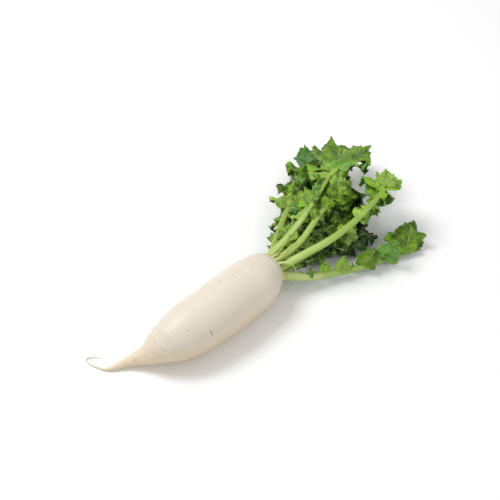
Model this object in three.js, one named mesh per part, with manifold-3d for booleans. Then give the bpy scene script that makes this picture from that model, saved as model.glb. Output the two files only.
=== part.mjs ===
// A daikon radish lying on its side with its leaves on: one root, eight leaves, three withered leaf stalks.
// Millimetres, +Z up. The root's belly rests on the plane z = 0 at the origin, its crown points along +X.
import * as THREE from "three";
import Module from "manifold-3d";

const wasm = await Module();
wasm.setup();

// ---------------------------------------------------------------- driving dimensions
const ROOT_SIDES = 22;
const ROOT_RINGS = 36;
// Centreline and radius of the root, from the end of its thread-like tail to its crown: x, y, z, radius.
const ROOT = [
  [-131, 57, 1.1, 0.7],
  [-141, 68, 1.1, 0.7],
  [-149, 72, 1.1, 0.8],
  [-151, 64, 1.1, 0.9],
  [-147, 53, 1.3, 1.1],
  [-142, 44, 2.0, 1.7],
  [-134, 38, 3.6, 3.1],
  [-124, 34, 5.9, 4.8],
  [-114, 29, 8.6, 6.8],
  [-104, 23, 12.4, 9.7],
  [-95, 17, 17.2, 13.6],
  [-86, 12.5, 23.2, 18.9],
  [-75, 8.5, 28.4, 25.2],
  [-61, 4.8, 31.5, 30.3],
  [-44, 2, 33.4, 33.6],
  [-22, 0.6, 34.6, 35.3],
  [0, 0, 35.1, 35.9],
  [22, 0, 35.3, 36.1],
  [44, 0.8, 35, 35.9],
  [66, 2.4, 34.8, 34.8],
  [80, 6, 34.9, 30.8],
  [89.5, 9.5, 35.8, 27.6],
  [95, 12, 36.4, 23.5],
  [99, 13.8, 36.8, 18.7],
  [101.5, 14.8, 37, 13],
  [102.5, 15.2, 37.2, 5],
];
const CROWN_START_X = 60; // leaves are cut to fit the root from here on
const FIT_GAP = 0.3; // between a leaf's base and the crown
const ROOTLETS = 3;
const ROOTLET_LENGTH = 5;
const ROOTLET_RADIUS = 0.5;

const SMALLEST_STEP = 0.25; // slivers finer than this are smoothed away
const BLADE_THICKNESS = 0.9;
const GROUND_CLEARANCE = 0.55; // of the middle of a leaf blade that lies on the surface
const DEEPEST_DROOP = -3; // a lobe that would hang lower than this is bent up
const LEAF_GAP = 5; // between the sample points of two leaves, so that their blades never cross
const LOBE_GAP = 2.5; // and of the outer parts of two lobes of one leaf
const SAMPLES_ALONG = 14; // a lobe
const SAMPLES_ACROSS = 8;
const FIRST_OUTER_SAMPLE = 6;
const STALK_SAMPLES = 90;
const WITHERED_SAMPLES = 40;
const ROOT_CLEARANCE = 2; // of the samples of the root's skin outside it
const LOBE_ATTEMPTS = 32; // how often a lobe is bent further
const LOBE_BEND = 9; // by so many degrees
const LOBE_SHRINK = 0.024; // and made shorter by this share
const LEAF_SIDES = 8;
const LEAF_STATIONS = 12;
// path: the midrib from inside the crown to the base of the end lobe; width: of the stalk at its foot;
// blade: where along the path the lobes start; pairs of side lobes; size: length of the largest one;
// near: share of that length on the right-hand side; end: share of it that the end lobe has.
// In degrees: turn of the end lobe to the right, spread of the side lobes from the midrib, roll of the
// whole leaf to one side, fold of its lobes upwards, and stir, how much that fold differs between lobes.
const LEAVES = [
  { name: "leaf_right_low", width: 12.5, blade: 0.26, pairs: 6, size: 43, near: 0.2, end: 0.95, turn: -45,
    spread: 66, roll: -40, fold: 16, stir: 70, seed: 18,
    path: [[91, 0.5, 33], [113, -18.5, 28], [136, -32, 20], [165, -44, 14], [205, -61, 11], [240, -71, 11],
      [266, -77, 12]] },
  { name: "leaf_right_long", width: 13, blade: 0.46, pairs: 5, size: 52, near: 0.7, end: 0.55, turn: 0,
    spread: 50, roll: -14, fold: -40, stir: 44, seed: 29,
    path: [[91, 1, 36.5], [115, -7.5, 42.5], [140, -18, 53], [170, -28, 63], [206, -32, 71.5],
      [240, -30, 77.5], [262, -25, 79], [277, -18, 79.5]] },
  { name: "leaf_middle", width: 10.5, blade: 0.46, pairs: 5, size: 68, near: 0.7, end: 1, turn: 0,
    spread: 66, roll: -5, fold: -40, stir: 60, seed: 37,
    path: [[92, 9, 44.5], [116, 2.5, 48.5], [145, 0, 56], [180, 8, 65], [212, 16, 69], [236, 23, 67],
      [252, 27, 62]] },
  { name: "leaf_under", width: 8.5, blade: 0.26, pairs: 5, size: 52, near: 0.5, end: 0.95, turn: 0,
    spread: 72, roll: 4, fold: 20, stir: 60, seed: 41,
    path: [[91, 5.5, 29], [113, -3, 25], [140, -5, 17], [166, -8, 13], [186, -11, 12], [202, -15, 12],
      [214, -18, 13]] },
  { name: "leaf_left_high", width: 12, blade: 0.3, pairs: 6, size: 76, near: 1, end: 1, turn: 0, spread: 66,
    roll: 8, fold: -40, stir: 60, seed: 53,
    path: [[92, 15, 42], [115, 17, 46], [140, 18, 54], [178, 24, 65], [212, 35, 71], [244, 48, 71],
      [268, 60, 65]] },
  { name: "leaf_inner", width: 9, blade: 0.26, pairs: 6, size: 60, near: 1, end: 1, turn: 0, spread: 66,
    roll: 0, fold: -6, stir: 60, seed: 67,
    path: [[92, 9.5, 36.5], [114, 6, 36], [145, 5, 37], [180, 5, 37], [215, 3, 36], [242, 2, 35],
      [262, 1, 33]] },
  { name: "leaf_left_low", width: 11, blade: 0.28, pairs: 6, size: 68, near: 1, end: 1, turn: 0, spread: 66,
    roll: -6, fold: -25, stir: 60, seed: 71,
    path: [[91, 15.5, 32], [114, 22, 33], [140, 38, 37], [175, 58, 39], [208, 75, 36], [238, 88, 31],
      [260, 97, 25]] },
  { name: "leaf_bottom", width: 8.5, blade: 0.24, pairs: 6, size: 62, near: 1, end: 1, turn: 0, spread: 72,
    roll: 0, fold: 10, stir: 60, seed: 83,
    path: [[91, 10.5, 27], [114, 13, 22], [140, 21, 14], [175, 31, 9], [210, 39, 8], [238, 45, 8],
      [256, 49, 9]] },
];

// Centreline of each withered stalk, and its radius at the foot and at the tip.
const WITHERED = [
  { name: "withered_stalk_upper", foot: 1.3, tip: 0.8,
    path: [[98, 10, 50], [111, 7, 52], [122, 8, 56], [131, 9, 59], [138, 5, 60]] },
  { name: "withered_stalk_middle", foot: 1.3, tip: 0.8,
    path: [[98.5, 4, 50], [112, 0, 52], [122, 2, 55], [131, 3, 57.5], [138, -1, 58]] },
  { name: "withered_stalk_lower", foot: 1.2, tip: 0.8,
    path: [[98, 0, 48], [109, -8, 50], [113, -16, 51], [114, -23, 46], [112, -26, 36], [109, -25, 25],
      [104, -22, 15], [100, -18, 9]] },
];

const COLOURS = { root: 0xf0e8da, leaf: 0x4f8f2e, withered: 0xc3cf72 };
const UP = new THREE.Vector3(0, 0, 1);
const DEGREE = Math.PI / 180;

// ---------------------------------------------------------------- curves and closed meshes
// A smooth curve through rows of numbers (uniform Catmull-Rom), t from 0 to 1.
function along(rows, t) {
  const last = rows.length - 1;
  const s = Math.min(Math.max(t, 0) * last, last - 1e-9);
  const i = Math.floor(s);
  const f = s - i;
  const [a, b, c, d] = [i - 1, i, i + 1, i + 2].map((k) => rows[Math.min(Math.max(k, 0), last)]);
  return b.map((_, k) => 0.5 * (2 * b[k] + (c[k] - a[k]) * f + (2 * a[k] - 5 * b[k] + 4 * c[k] - d[k]) * f * f
    + (3 * b[k] - a[k] - 3 * c[k] + d[k]) * f * f * f));
}

// Point, direction, right-hand side and upward normal at t on a path, turned about the path by roll.
function frameAt(path, t, roll = 0) {
  const step = 0.004;
  const point = new THREE.Vector3(...along(path, t));
  const ahead = new THREE.Vector3(...along(path, Math.min(1, t + step)));
  const tangent = ahead.sub(new THREE.Vector3(...along(path, Math.max(0, t - step)))).normalize();
  const level = new THREE.Vector3().crossVectors(tangent, UP).normalize();
  const upright = new THREE.Vector3().crossVectors(level, tangent);
  const side = level.clone().multiplyScalar(Math.cos(roll)).addScaledVector(upright, Math.sin(roll));
  const normal = upright.clone().multiplyScalar(Math.cos(roll)).addScaledVector(level, -Math.sin(roll));
  return { point, tangent, side, normal };
}

function solidOf(points, faces) {
  const vertProperties = new Float32Array(points.flatMap((p) => [p.x, p.y, p.z]));
  const triVerts = new Uint32Array(faces.flat());
  return new wasm.Manifold(new wasm.Mesh({ numProp: 3, vertProperties, triVerts }));
}

// A closed solid through rings of equal length, with a flat fan on each end.
function loft(rings) {
  const sides = rings[0].length;
  const points = rings.flat();
  const faces = [];
  for (let i = 0; i + 1 < rings.length; i++)
    for (let j = 0; j < sides; j++) {
      const [a, b] = [i * sides + j, i * sides + ((j + 1) % sides)];
      faces.push([a, a + sides, b], [b, a + sides, b + sides]);
    }
  const middle = (ring) => ring.reduce((sum, p) => sum.add(p), new THREE.Vector3()).divideScalar(sides);
  const lastRing = (rings.length - 1) * sides;
  points.push(middle(rings[0]), middle(rings.at(-1)));
  for (let j = 0; j < sides; j++) {
    const next = (j + 1) % sides;
    faces.push([points.length - 2, j, next], [points.length - 1, lastRing + next, lastRing + j]);
  }
  return solidOf(points, faces);
}

// A thin closed solid round a grid of mid-surface points.
function sheet(grid, thickness) {
  const [rows, columns] = [grid.length, grid[0].length];
  const at = (i, j) => grid[Math.min(Math.max(i, 0), rows - 1)][Math.min(Math.max(j, 0), columns - 1)];
  const top = [];
  const bottom = [];
  grid.forEach((row, i) => row.forEach((p, j) => {
    const across = at(i, j + 1).clone().sub(at(i, j - 1));
    const normal = at(i + 1, j).clone().sub(at(i - 1, j)).cross(across).normalize();
    top.push(p.clone().addScaledVector(normal, thickness / 2));
    bottom.push(p.clone().addScaledVector(normal, -thickness / 2));
  }));
  const id = (i, j) => i * columns + j;
  const under = top.length;
  const faces = [];
  for (let i = 0; i + 1 < rows; i++)
    for (let j = 0; j + 1 < columns; j++) {
      const [a, b, c, d] = [id(i, j), id(i + 1, j), id(i + 1, j + 1), id(i, j + 1)];
      faces.push([a, b, c], [a, c, d], [under + a, under + c, under + b], [under + a, under + d, under + c]);
    }
  const rim = [];
  const [lastRow, lastColumn] = [rows - 1, columns - 1];
  for (let i = 0; i < lastRow; i++)
    rim.push([id(i, 0), id(i + 1, 0)], [id(i + 1, lastColumn), id(i, lastColumn)]);
  for (let j = 0; j < lastColumn; j++)
    rim.push([id(lastRow, j), id(lastRow, j + 1)], [id(0, j + 1), id(0, j)]);
  for (const [p, q] of rim) faces.push([p, under + p, under + q], [p, under + q, q]);
  return solidOf([...top, ...bottom], faces);
}

function ring(frame, outline) {
  return outline.map(([across, above]) =>
    frame.point.clone().addScaledVector(frame.side, across).addScaledVector(frame.normal, above));
}

// The outside of the largest piece, without pockets closed in where lobes lie over each other.
const outerSkin = (solid) => solid.decompose().reduce((a, b) => (a.volume() > b.volume() ? a : b));

const circle = (radius, sides) => Array.from({ length: sides }, (_, j) => {
  const angle = 2 * Math.PI * j / sides;
  return [radius * Math.cos(angle), radius * Math.sin(angle)];
});

function meshOf(name, solid, colour, roughness) {
  const { vertProperties, triVerts, numProp } = solid.getMesh();
  const points = new Float32Array(vertProperties.length / numProp * 3);
  for (let i = 0; i < points.length / 3; i++)
    points.set(vertProperties.subarray(i * numProp, i * numProp + 3), i * 3);
  const geometry = new THREE.BufferGeometry();
  geometry.setAttribute("position", new THREE.BufferAttribute(points, 3));
  geometry.setIndex(new THREE.BufferAttribute(triVerts, 1));
  geometry.computeVertexNormals();
  const material = new THREE.MeshStandardMaterial({ color: colour, roughness, metalness: 0 });
  const mesh = new THREE.Mesh(geometry, material);
  mesh.name = name;
  return mesh;
}

// ---------------------------------------------------------------- root
// Low swellings and hollows of the skin, so that the root isn't a perfect turning. The belly has none.
function skinRelief(x, angle, radius) {
  const share = Math.min(1, radius / 30) * (0.5 + 0.5 * Math.sin(angle));
  const broad = 0.6 * Math.cos(2 * angle + 0.021 * x + 0.7);
  return share * (broad + 0.4 * Math.sin(0.085 * x + 1.6 * Math.cos(angle)));
}

function rootRings(grow) {
  return Array.from({ length: ROOT_RINGS + 1 }, (_, k) => {
    const t = k / ROOT_RINGS;
    const radius = along(ROOT, t)[3] + grow;
    const frame = frameAt(ROOT.map((row) => row.slice(0, 3)), t);
    const outline = circle(1, ROOT_SIDES).map(([c, s]) => {
      const r = radius + skinRelief(frame.point.x, Math.atan2(s, c), radius);
      return [r * c, r * s];
    });
    return ring(frame, outline);
  });
}

// Fine side roots in two opposite rows down the tail, each bending down to the surface.
function rootlet(k) {
  const t = 0.27 + 0.17 * (k / (ROOTLETS - 1));
  const [x, y, z, radius] = along(ROOT, t);
  const outwards = k % 2 ? -1 : 1;
  const length = ROOTLET_LENGTH * (0.6 + 0.6 * ((k * 3) % 5) / 5);
  const path = [0, 0.3, 0.65, 1].map((u) => [
    x - length * 0.9 * u * u,
    y + outwards * (radius * 0.75 + length * 0.7 * u),
    Math.max(1, z * (1 - u * u)),
  ]);
  const outline = (u) => circle(ROOTLET_RADIUS * (1 - 0.2 * u), 4);
  return loft([0, 0.25, 0.5, 0.75, 1].map((u) => ring(frameAt(path, u), outline(u))));
}

function makeRoot() {
  let root = loft(rootRings(0));
  for (let k = 0; k < ROOTLETS; k++) root = root.add(rootlet(k));
  return root.trimByPlane([0, 0, 1], 0); // the small flat that the belly rests on
}

// ---------------------------------------------------------------- leaves
// Numbers from 0 to 1 that are the same every time for one seed.
function dice(seed) {
  let state = seed * 7919;
  const roll = () => (state = (Math.imul(state, 1664525) + 1013904223) >>> 0) / 4294967296;
  roll();
  return roll;
}

// Half of a leaf stalk's width at t: flared at the foot, thinner at the end of the midrib.
function stalkHalfWidth(leaf, t) {
  return leaf.width / 2 * (0.34 + 0.66 * (1 - t) ** 0.9) * (1 + 0.25 * Math.exp(-t * 30));
}

function stalkOutline(halfWidth) {
  return circle(halfWidth, LEAF_SIDES).map(([across, above]) => [across, above * (above > 0 ? 0.55 : 0.85)]);
}

const stalkRing = (leaf, t) =>
  ring(frameAt(leaf.path, t, leaf.roll * DEGREE), stalkOutline(stalkHalfWidth(leaf, t)));

function stalk(leaf) {
  const rings = Array.from({ length: LEAF_STATIONS + 1 }, (_, k) => stalkRing(leaf, k / LEAF_STATIONS));
  return loft(rings);
}

// The side lobes of a leaf, from the smallest near the foot to the largest, and the broad end lobe.
function lobesOf(leaf) {
  const roll = dice(leaf.seed);
  const lobes = [];
  for (let pair = 0; pair < leaf.pairs; pair++)
    for (const hand of [-1, 1]) {
      const f = (pair + 0.5 + 0.3 * (roll() - 0.5) + 0.12 * hand) / leaf.pairs;
      lobes.push({
        hand,
        t: leaf.blade + (0.97 - leaf.blade) * f,
        length: leaf.size * (0.25 + 0.75 * f) * (0.85 + 0.3 * roll()) * (hand > 0 ? leaf.near : 1),
        angle: (leaf.spread - 26 * f + 16 * (roll() - 0.5)) * DEGREE,
        lift: (leaf.fold + leaf.stir * (roll() - 0.25)) * DEGREE,
        curl: (35 + 85 * roll()) * DEGREE,
        twist: 60 * (roll() - 0.5) * DEGREE,
        phase: 2 * Math.PI * roll(),
        breadth: 0.46,
        foot: 0.12 + 0.45 * f,
        teeth: 1 + Math.floor(2.2 * f),
        columns: 2,
      });
    }
  lobes.push({
    hand: 1,
    t: 0.985,
    length: leaf.size * leaf.end,
    angle: leaf.turn * DEGREE,
    lift: 0.1,
    curl: (30 + 50 * roll()) * DEGREE,
    twist: 30 * (roll() - 0.5) * DEGREE,
    phase: 2 * Math.PI * roll(),
    breadth: 0.48,
    foot: 0.5,
    teeth: 4,
    columns: 4,
  });
  return lobes;
}

// Share of the full half-width at u from the lobe's foot (0) to its tip (1).
function lobeOutline(lobe, u) {
  return lobe.foot * (1 - u) ** 2 + 0.95 * Math.sin(Math.PI * u ** 0.8) ** 0.75 * (1 - 0.15 * u) + 0.05;
}

// A point of a lobe's mid-surface: u along its vein, v from edge to edge.
function lobePoint(leaf, lobe, u, v, tooth) {
  const rib = frameAt(leaf.path, lobe.t, leaf.roll * DEGREE);
  const out = rib.tangent.clone().multiplyScalar(Math.cos(lobe.angle))
    .addScaledVector(rib.side, lobe.hand * Math.sin(lobe.angle));
  const across = rib.tangent.clone().multiplyScalar(Math.sin(lobe.angle))
    .addScaledVector(rib.side, -lobe.hand * Math.cos(lobe.angle));
  const bend = lobe.lift - lobe.curl * u;
  const vein = out.clone().multiplyScalar(Math.cos(bend)).addScaledVector(rib.normal, Math.sin(bend));
  const flatNormal = rib.normal.clone().multiplyScalar(Math.cos(bend)).addScaledVector(out, -Math.sin(bend));
  const turn = lobe.twist * u;
  const wide = across.clone().multiplyScalar(Math.cos(turn)).addScaledVector(flatNormal, Math.sin(turn));
  const normal = flatNormal.clone().multiplyScalar(Math.cos(turn)).addScaledVector(across, -Math.sin(turn));
  const half = lobe.length * lobe.breadth * lobeOutline(lobe, u) * (1 - 0.16 * Math.abs(v) * (1 - tooth));
  const wave = Math.sin(2 * Math.PI * 1.9 * u + lobe.phase + (v > 0 ? 0 : 2.3));
  const ripple = 0.13 * lobe.length * v * v * wave * Math.min(1, 4 * u);
  const arch = 0.35 * half * (Math.abs(v) - 0.75 * v * v);
  const point = rib.point.clone()
    .addScaledVector(out, lobe.length * (Math.sin(lobe.lift) - Math.sin(bend)) / lobe.curl)
    .addScaledVector(rib.normal, lobe.length * (Math.cos(bend) - Math.cos(lobe.lift)) / lobe.curl)
    .addScaledVector(vein, 0.04 * lobe.length * Math.abs(v) * tooth)
    .addScaledVector(wide, half * v)
    .addScaledVector(normal, ripple + arch);
  return point;
}

// Lays a low point on the surface, without pushing anything through it.
function onSurface(point) {
  const half = (point.z - GROUND_CLEARANCE) / 2;
  return point.clone().setZ(GROUND_CLEARANCE + half + Math.sqrt(half * half + 0.5));
}

function lobeSamples(leaf, lobe) {
  const samples = [];
  for (let i = 1; i <= SAMPLES_ALONG; i++)
    for (let j = 0; j <= SAMPLES_ACROSS; j++) {
      const p = lobePoint(leaf, lobe, i / SAMPLES_ALONG, 2 * j / SAMPLES_ACROSS - 1, 1);
      samples.push({ lowest: p.z, p: onSurface(p), outer: i >= FIRST_OUTER_SAMPLE });
    }
  return samples;
}

// Remembers where each leaf is, in cells as wide as the gap that the leaves keep.
const cells = new Map();
const cellOf = (p, dx = 0, dy = 0, dz = 0) =>
  [Math.floor(p.x / LEAF_GAP) + dx, Math.floor(p.y / LEAF_GAP) + dy, Math.floor(p.z / LEAF_GAP) + dz].join();

function remember(owner, samples) {
  for (const { p, outer } of samples) {
    const key = cellOf(p);
    if (!cells.has(key)) cells.set(key, []);
    cells.get(key).push({ owner, p, outer });
  }
}

const rememberPoints = (owner, points) => remember(owner, points.map((p) => ({ p, outer: false })));

function isClear(owner, { p, outer }) {
  for (const dx of [-1, 0, 1])
    for (const dy of [-1, 0, 1])
      for (const dz of [-1, 0, 1])
        for (const other of cells.get(cellOf(p, dx, dy, dz)) ?? []) {
          const ownGap = outer && other.outer ? LOBE_GAP : 0;
          if (other.p.distanceTo(p) < (other.owner === owner ? ownGap : LEAF_GAP)) return false;
        }
  return true;
}

// Bends a lobe up or down until it is clear of what has grown, or leaves it out where there is no room.
function bentClear(leaf, lobe) {
  for (let k = 0; k < LOBE_ATTEMPTS; k++) {
    const bend = (k % 2 ? 1 : -1) * Math.ceil(k / 2) * LOBE_BEND * DEGREE;
    const tried = { ...lobe, lift: lobe.lift + bend, length: lobe.length * (1 - LOBE_SHRINK * k) };
    const samples = lobeSamples(leaf, tried);
    if (samples.every((sample) => sample.lowest > DEEPEST_DROOP && isClear(leaf.name, sample))) {
      remember(leaf.name, samples);
      return tried;
    }
  }
  return null;
}

function lobeSolid(leaf, lobe) {
  const last = 2 * lobe.teeth + 1;
  const grid = [];
  for (let k = 0; k <= last; k++) {
    const tooth = k % 2;
    const row = [];
    for (let j = 0; j <= lobe.columns; j++) {
      const v = 2 * j / lobe.columns - 1;
      row.push(onSurface(lobePoint(leaf, lobe, k / last, v, tooth)));
    }
    grid.push(row);
  }
  return sheet(grid, BLADE_THICKNESS);
}

function rememberStalk(leaf) {
  for (let k = 0; k <= STALK_SAMPLES; k++) rememberPoints(leaf.name, stalkRing(leaf, k / STALK_SAMPLES));
}

function makeLeaf(leaf, crown) {
  let solid = stalk(leaf);
  for (const lobe of lobesOf(leaf).reverse()) { // the end lobe has the first choice of room
    const placed = bentClear(leaf, lobe);
    if (placed) solid = solid.add(lobeSolid(leaf, placed));
  }
  return outerSkin(solid.subtract(crown).simplify(SMALLEST_STEP));
}

// ---------------------------------------------------------------- withered stalks
function makeWithered(stalkPiece, crown) {
  const rings = Array.from({ length: 15 }, (_, k) => k / 14).map((t) =>
    ring(frameAt(stalkPiece.path, t), circle(stalkPiece.foot + (stalkPiece.tip - stalkPiece.foot) * t, 6)));
  return loft(rings).subtract(crown);
}

// ---------------------------------------------------------------- the whole radish
const daikon = new THREE.Group();
daikon.name = "daikon";
daikon.add(meshOf("root", makeRoot(), COLOURS.root, 0.45));

const crown = loft(rootRings(FIT_GAP)).translate([FIT_GAP, 0, 0]).trimByPlane([1, 0, 0], CROWN_START_X);
rootRings(ROOT_CLEARANCE).forEach((points) => rememberPoints("root", points));
LEAVES.forEach(rememberStalk);
for (const piece of WITHERED)
  for (let k = 0; k <= WITHERED_SAMPLES; k++)
    rememberPoints(piece.name, [new THREE.Vector3(...along(piece.path, k / WITHERED_SAMPLES))]);
for (const leaf of LEAVES) daikon.add(meshOf(leaf.name, makeLeaf(leaf, crown), COLOURS.leaf, 0.55));
for (const piece of WITHERED)
  daikon.add(meshOf(piece.name, makeWithered(piece, crown), COLOURS.withered, 0.6));

export default daikon;
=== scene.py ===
# %% [markdown]
# # A daikon radish with its leaves
#
# A daikon is one stout white root with a thread-like tail and a rosette of leaves at its crown. Each leaf is a
# fleshy grooved stalk that runs on as the midrib of the blade, with toothed lobes on both sides and a broad one
# at the end. The solids give every piece its place and main form. This lesson makes the finer pieces over them:
# the smooth skin, the curled and veined lobes, the ridged stalks, the hairs and the colours.
#
# All lengths are worked out in millimetres, as a gardener would measure them, and turned into metres when a
# mesh is made.

# %% Load the frame
import math

import bpy
import numpy as np
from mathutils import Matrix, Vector


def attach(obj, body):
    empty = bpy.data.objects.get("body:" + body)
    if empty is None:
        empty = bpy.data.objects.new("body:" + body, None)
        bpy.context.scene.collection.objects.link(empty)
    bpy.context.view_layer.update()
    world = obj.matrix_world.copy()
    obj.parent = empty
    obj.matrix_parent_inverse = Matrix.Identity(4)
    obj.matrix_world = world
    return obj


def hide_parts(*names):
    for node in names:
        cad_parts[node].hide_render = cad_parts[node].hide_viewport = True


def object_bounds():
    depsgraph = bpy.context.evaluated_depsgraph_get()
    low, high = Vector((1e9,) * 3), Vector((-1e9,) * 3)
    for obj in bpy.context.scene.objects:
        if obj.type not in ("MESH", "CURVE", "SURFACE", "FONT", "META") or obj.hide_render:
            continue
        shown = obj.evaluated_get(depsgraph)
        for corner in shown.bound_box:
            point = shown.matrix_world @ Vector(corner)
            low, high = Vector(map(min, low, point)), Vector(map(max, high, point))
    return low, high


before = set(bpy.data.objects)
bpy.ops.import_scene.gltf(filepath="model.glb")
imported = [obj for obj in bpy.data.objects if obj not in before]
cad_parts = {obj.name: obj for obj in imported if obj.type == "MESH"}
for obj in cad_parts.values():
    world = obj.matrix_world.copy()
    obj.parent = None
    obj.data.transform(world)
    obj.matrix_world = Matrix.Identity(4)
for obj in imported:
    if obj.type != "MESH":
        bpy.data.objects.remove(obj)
cad_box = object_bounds()
MM = 0.001
print("solids:", sorted(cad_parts))

# %% [markdown]
# ## The plant's own numbers
#
# The finer pieces have to lie where the solids lie, so they are grown from the same numbers: the root's
# centreline with its radius, and for each leaf its midrib's path and a few sizes. Everything that varies from
# lobe to lobe comes from a small number generator with a fixed seed for each leaf, so the plant is the same
# every time.

# %% The root in numbers
ROOT = np.array([  # x, y, z and radius, from the tip of the tail to the crown
    [-131, 57, 1.1, 0.7], [-141, 68, 1.1, 0.7], [-149, 72, 1.1, 0.8], [-151, 64, 1.1, 0.9],
    [-147, 53, 1.3, 1.1], [-142, 44, 2.0, 1.7], [-134, 38, 3.6, 3.1], [-124, 34, 5.9, 4.8],
    [-114, 29, 8.6, 6.8], [-104, 23, 12.4, 9.7], [-95, 17, 17.2, 13.6], [-86, 12.5, 23.2, 18.9],
    [-75, 8.5, 28.4, 25.2], [-61, 4.8, 31.5, 30.3],
    [-44, 2, 33.4, 33.6], [-22, 0.6, 34.6, 35.3], [0, 0, 35.1, 35.9], [22, 0, 35.3, 36.1], [44, 0.8, 35, 35.9],
    [66, 2.4, 34.8, 34.8], [80, 6, 34.9, 30.8], [89.5, 9.5, 35.8, 27.6], [95, 12, 36.4, 23.5],
    [99, 13.8, 36.8, 18.7], [101.5, 14.8, 37, 13], [102.5, 15.2, 37.2, 5]])
print("points on the root's centreline:", len(ROOT))

# %% [markdown]
# ## The leaves in numbers
#
# A leaf could be kept as a mesh, but then it could only be copied. As a row of numbers it can be grown. They
# are, in order: the width of its stalk's foot; where on the midrib the blade starts, from 0 to 1; the pairs of
# large lobes; the length of the longest; the share of it that the right-hand lobes and the end lobe reach; then
# in degrees the end lobe's turn, the side lobes' angle to the midrib, the whole leaf's turn about its midrib,
# the lobes' lift and how much that varies; and the seed.

# %% Leaves and withered stalks in numbers
DEGREE = math.pi / 180
LEAF_KEYS = ("name", "width", "blade", "pairs", "size", "near", "end", "turn", "spread", "roll", "fold", "stir",
             "seed")


def leaf_numbers(*numbers, path):
    leaf = dict(zip(LEAF_KEYS, numbers), path=np.array(path, float))
    leaf["roll"] *= DEGREE
    return leaf


LEAVES = [
    leaf_numbers("leaf_right_low", 12.5, 0.26, 6, 43, 0.2, 0.95, -45, 66, -40, 16, 70, 18,
                 path=[[91, 0.5, 33], [113, -18.5, 28], [136, -32, 20], [165, -44, 14], [205, -61, 11],
                       [240, -71, 11], [266, -77, 12]]),
    leaf_numbers("leaf_right_long", 13, 0.46, 5, 52, 0.7, 0.55, 0, 50, -14, -40, 44, 29,
                 path=[[91, 1, 36.5], [115, -7.5, 42.5], [140, -18, 53], [170, -28, 63], [206, -32, 71.5],
                       [240, -30, 77.5], [262, -25, 79], [277, -18, 79.5]]),
    leaf_numbers("leaf_middle", 10.5, 0.46, 5, 68, 0.7, 1, 0, 66, -5, -40, 60, 37,
                 path=[[92, 9, 44.5], [116, 2.5, 48.5], [145, 0, 56], [180, 8, 65], [212, 16, 69],
                       [236, 23, 67], [252, 27, 62]]),
    leaf_numbers("leaf_under", 8.5, 0.26, 5, 52, 0.5, 0.95, 0, 72, 4, 20, 60, 41,
                 path=[[91, 5.5, 29], [113, -3, 25], [140, -5, 17], [166, -8, 13], [186, -11, 12],
                       [202, -15, 12], [214, -18, 13]]),
    leaf_numbers("leaf_left_high", 12, 0.3, 6, 76, 1, 1, 0, 66, 8, -40, 60, 53,
                 path=[[92, 15, 42], [115, 17, 46], [140, 18, 54], [178, 24, 65], [212, 35, 71], [244, 48, 71],
                       [268, 60, 65]]),
    leaf_numbers("leaf_inner", 9, 0.26, 6, 60, 1, 1, 0, 66, 0, -6, 60, 67,
                 path=[[92, 9.5, 36.5], [114, 6, 36], [145, 5, 37], [180, 5, 37], [215, 3, 36], [242, 2, 35],
                       [262, 1, 33]]),
    leaf_numbers("leaf_left_low", 11, 0.28, 6, 68, 1, 1, 0, 66, -6, -25, 60, 71,
                 path=[[91, 15.5, 32], [114, 22, 33], [140, 38, 37], [175, 58, 39], [208, 75, 36],
                       [238, 88, 31], [260, 97, 25]]),
    leaf_numbers("leaf_bottom", 8.5, 0.24, 6, 62, 1, 1, 0, 72, 0, 10, 60, 83,
                 path=[[91, 10.5, 27], [114, 13, 22], [140, 21, 14], [175, 31, 9], [210, 39, 8], [238, 45, 8],
                       [256, 49, 9]]),
]

WITHERED = {
    "withered_stalk_upper": [[98, 10, 50], [111, 7, 52], [122, 8, 56], [131, 9, 59], [138, 5, 60]],
    "withered_stalk_middle": [[98.5, 4, 50], [112, 0, 52], [122, 2, 55], [131, 3, 57.5], [138, -1, 58]],
    "withered_stalk_lower": [[98, 0, 48], [109, -8, 50], [113, -16, 51], [114, -23, 46], [112, -26, 36],
                             [109, -25, 25], [104, -22, 15], [100, -18, 9]],
}
print(len(LEAVES), "leaves and", len(WITHERED), "withered stalks")

# %% [markdown]
# ## Camera
#
# The radish is looked down on from beyond its tail, a little to its right. A camera can be close with a short
# lens or far away with a long one. A long lens far away is chosen, because a short one would make the near end
# of the root look swollen.

# %% Camera
VIEW_AZIMUTH, VIEW_ELEVATION = -42.2 * DEGREE, 50 * DEGREE
VIEW_DISTANCE, VIEW_TARGET = 1543.2, Vector((107.3, 54.7, 20))
LENS, SENSOR_WIDTH = 85, 36

view_back = Vector((math.sin(VIEW_AZIMUTH) * math.cos(VIEW_ELEVATION),
                    -math.cos(VIEW_AZIMUTH) * math.cos(VIEW_ELEVATION), math.sin(VIEW_ELEVATION)))
camera_data = bpy.data.cameras.new("camera")
camera_data.lens, camera_data.sensor_width, camera_data.sensor_fit = LENS, SENSOR_WIDTH, "HORIZONTAL"
camera = bpy.data.objects.new("camera", camera_data)
camera.location = (VIEW_TARGET + view_back * VIEW_DISTANCE) * MM
camera.rotation_euler = view_back.to_track_quat("Z", "Y").to_euler()
bpy.context.scene.collection.objects.link(camera)
bpy.context.scene.camera = camera
print("camera at", tuple(round(x, 3) for x in camera.location))

# %% [markdown]
# ## Table and light
#
# The radish lies on a plain white table. A large soft lamp behind it on the left gives the white skin its slow
# shading from cream to grey, and the warm tan of its lower side is painted shade in the skin's colour. A wider
# and weaker lamp in front and the bright room keep the shaded sides light. Area lamps are chosen because their
# shadows are soft, as a small lamp's are not.

# %% Table and light
LAMP_AIM = (0.08, 0, 0)
LAMPS = {  # place and width in metres, power in watts
    "lamp_behind_left": ((-0.35, 0.9, 1.5), 0.8, 21),
    "lamp_front_fill": ((0.3, -1.6, 1.3), 1.4, 7)}
ROOM_LIGHT = 0.6
TABLE_WIDTH, TABLE_DROP = 6, 0.0002
TABLE_WHITE, TABLE_ROUGHNESS = 0.94, 0.8

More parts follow.
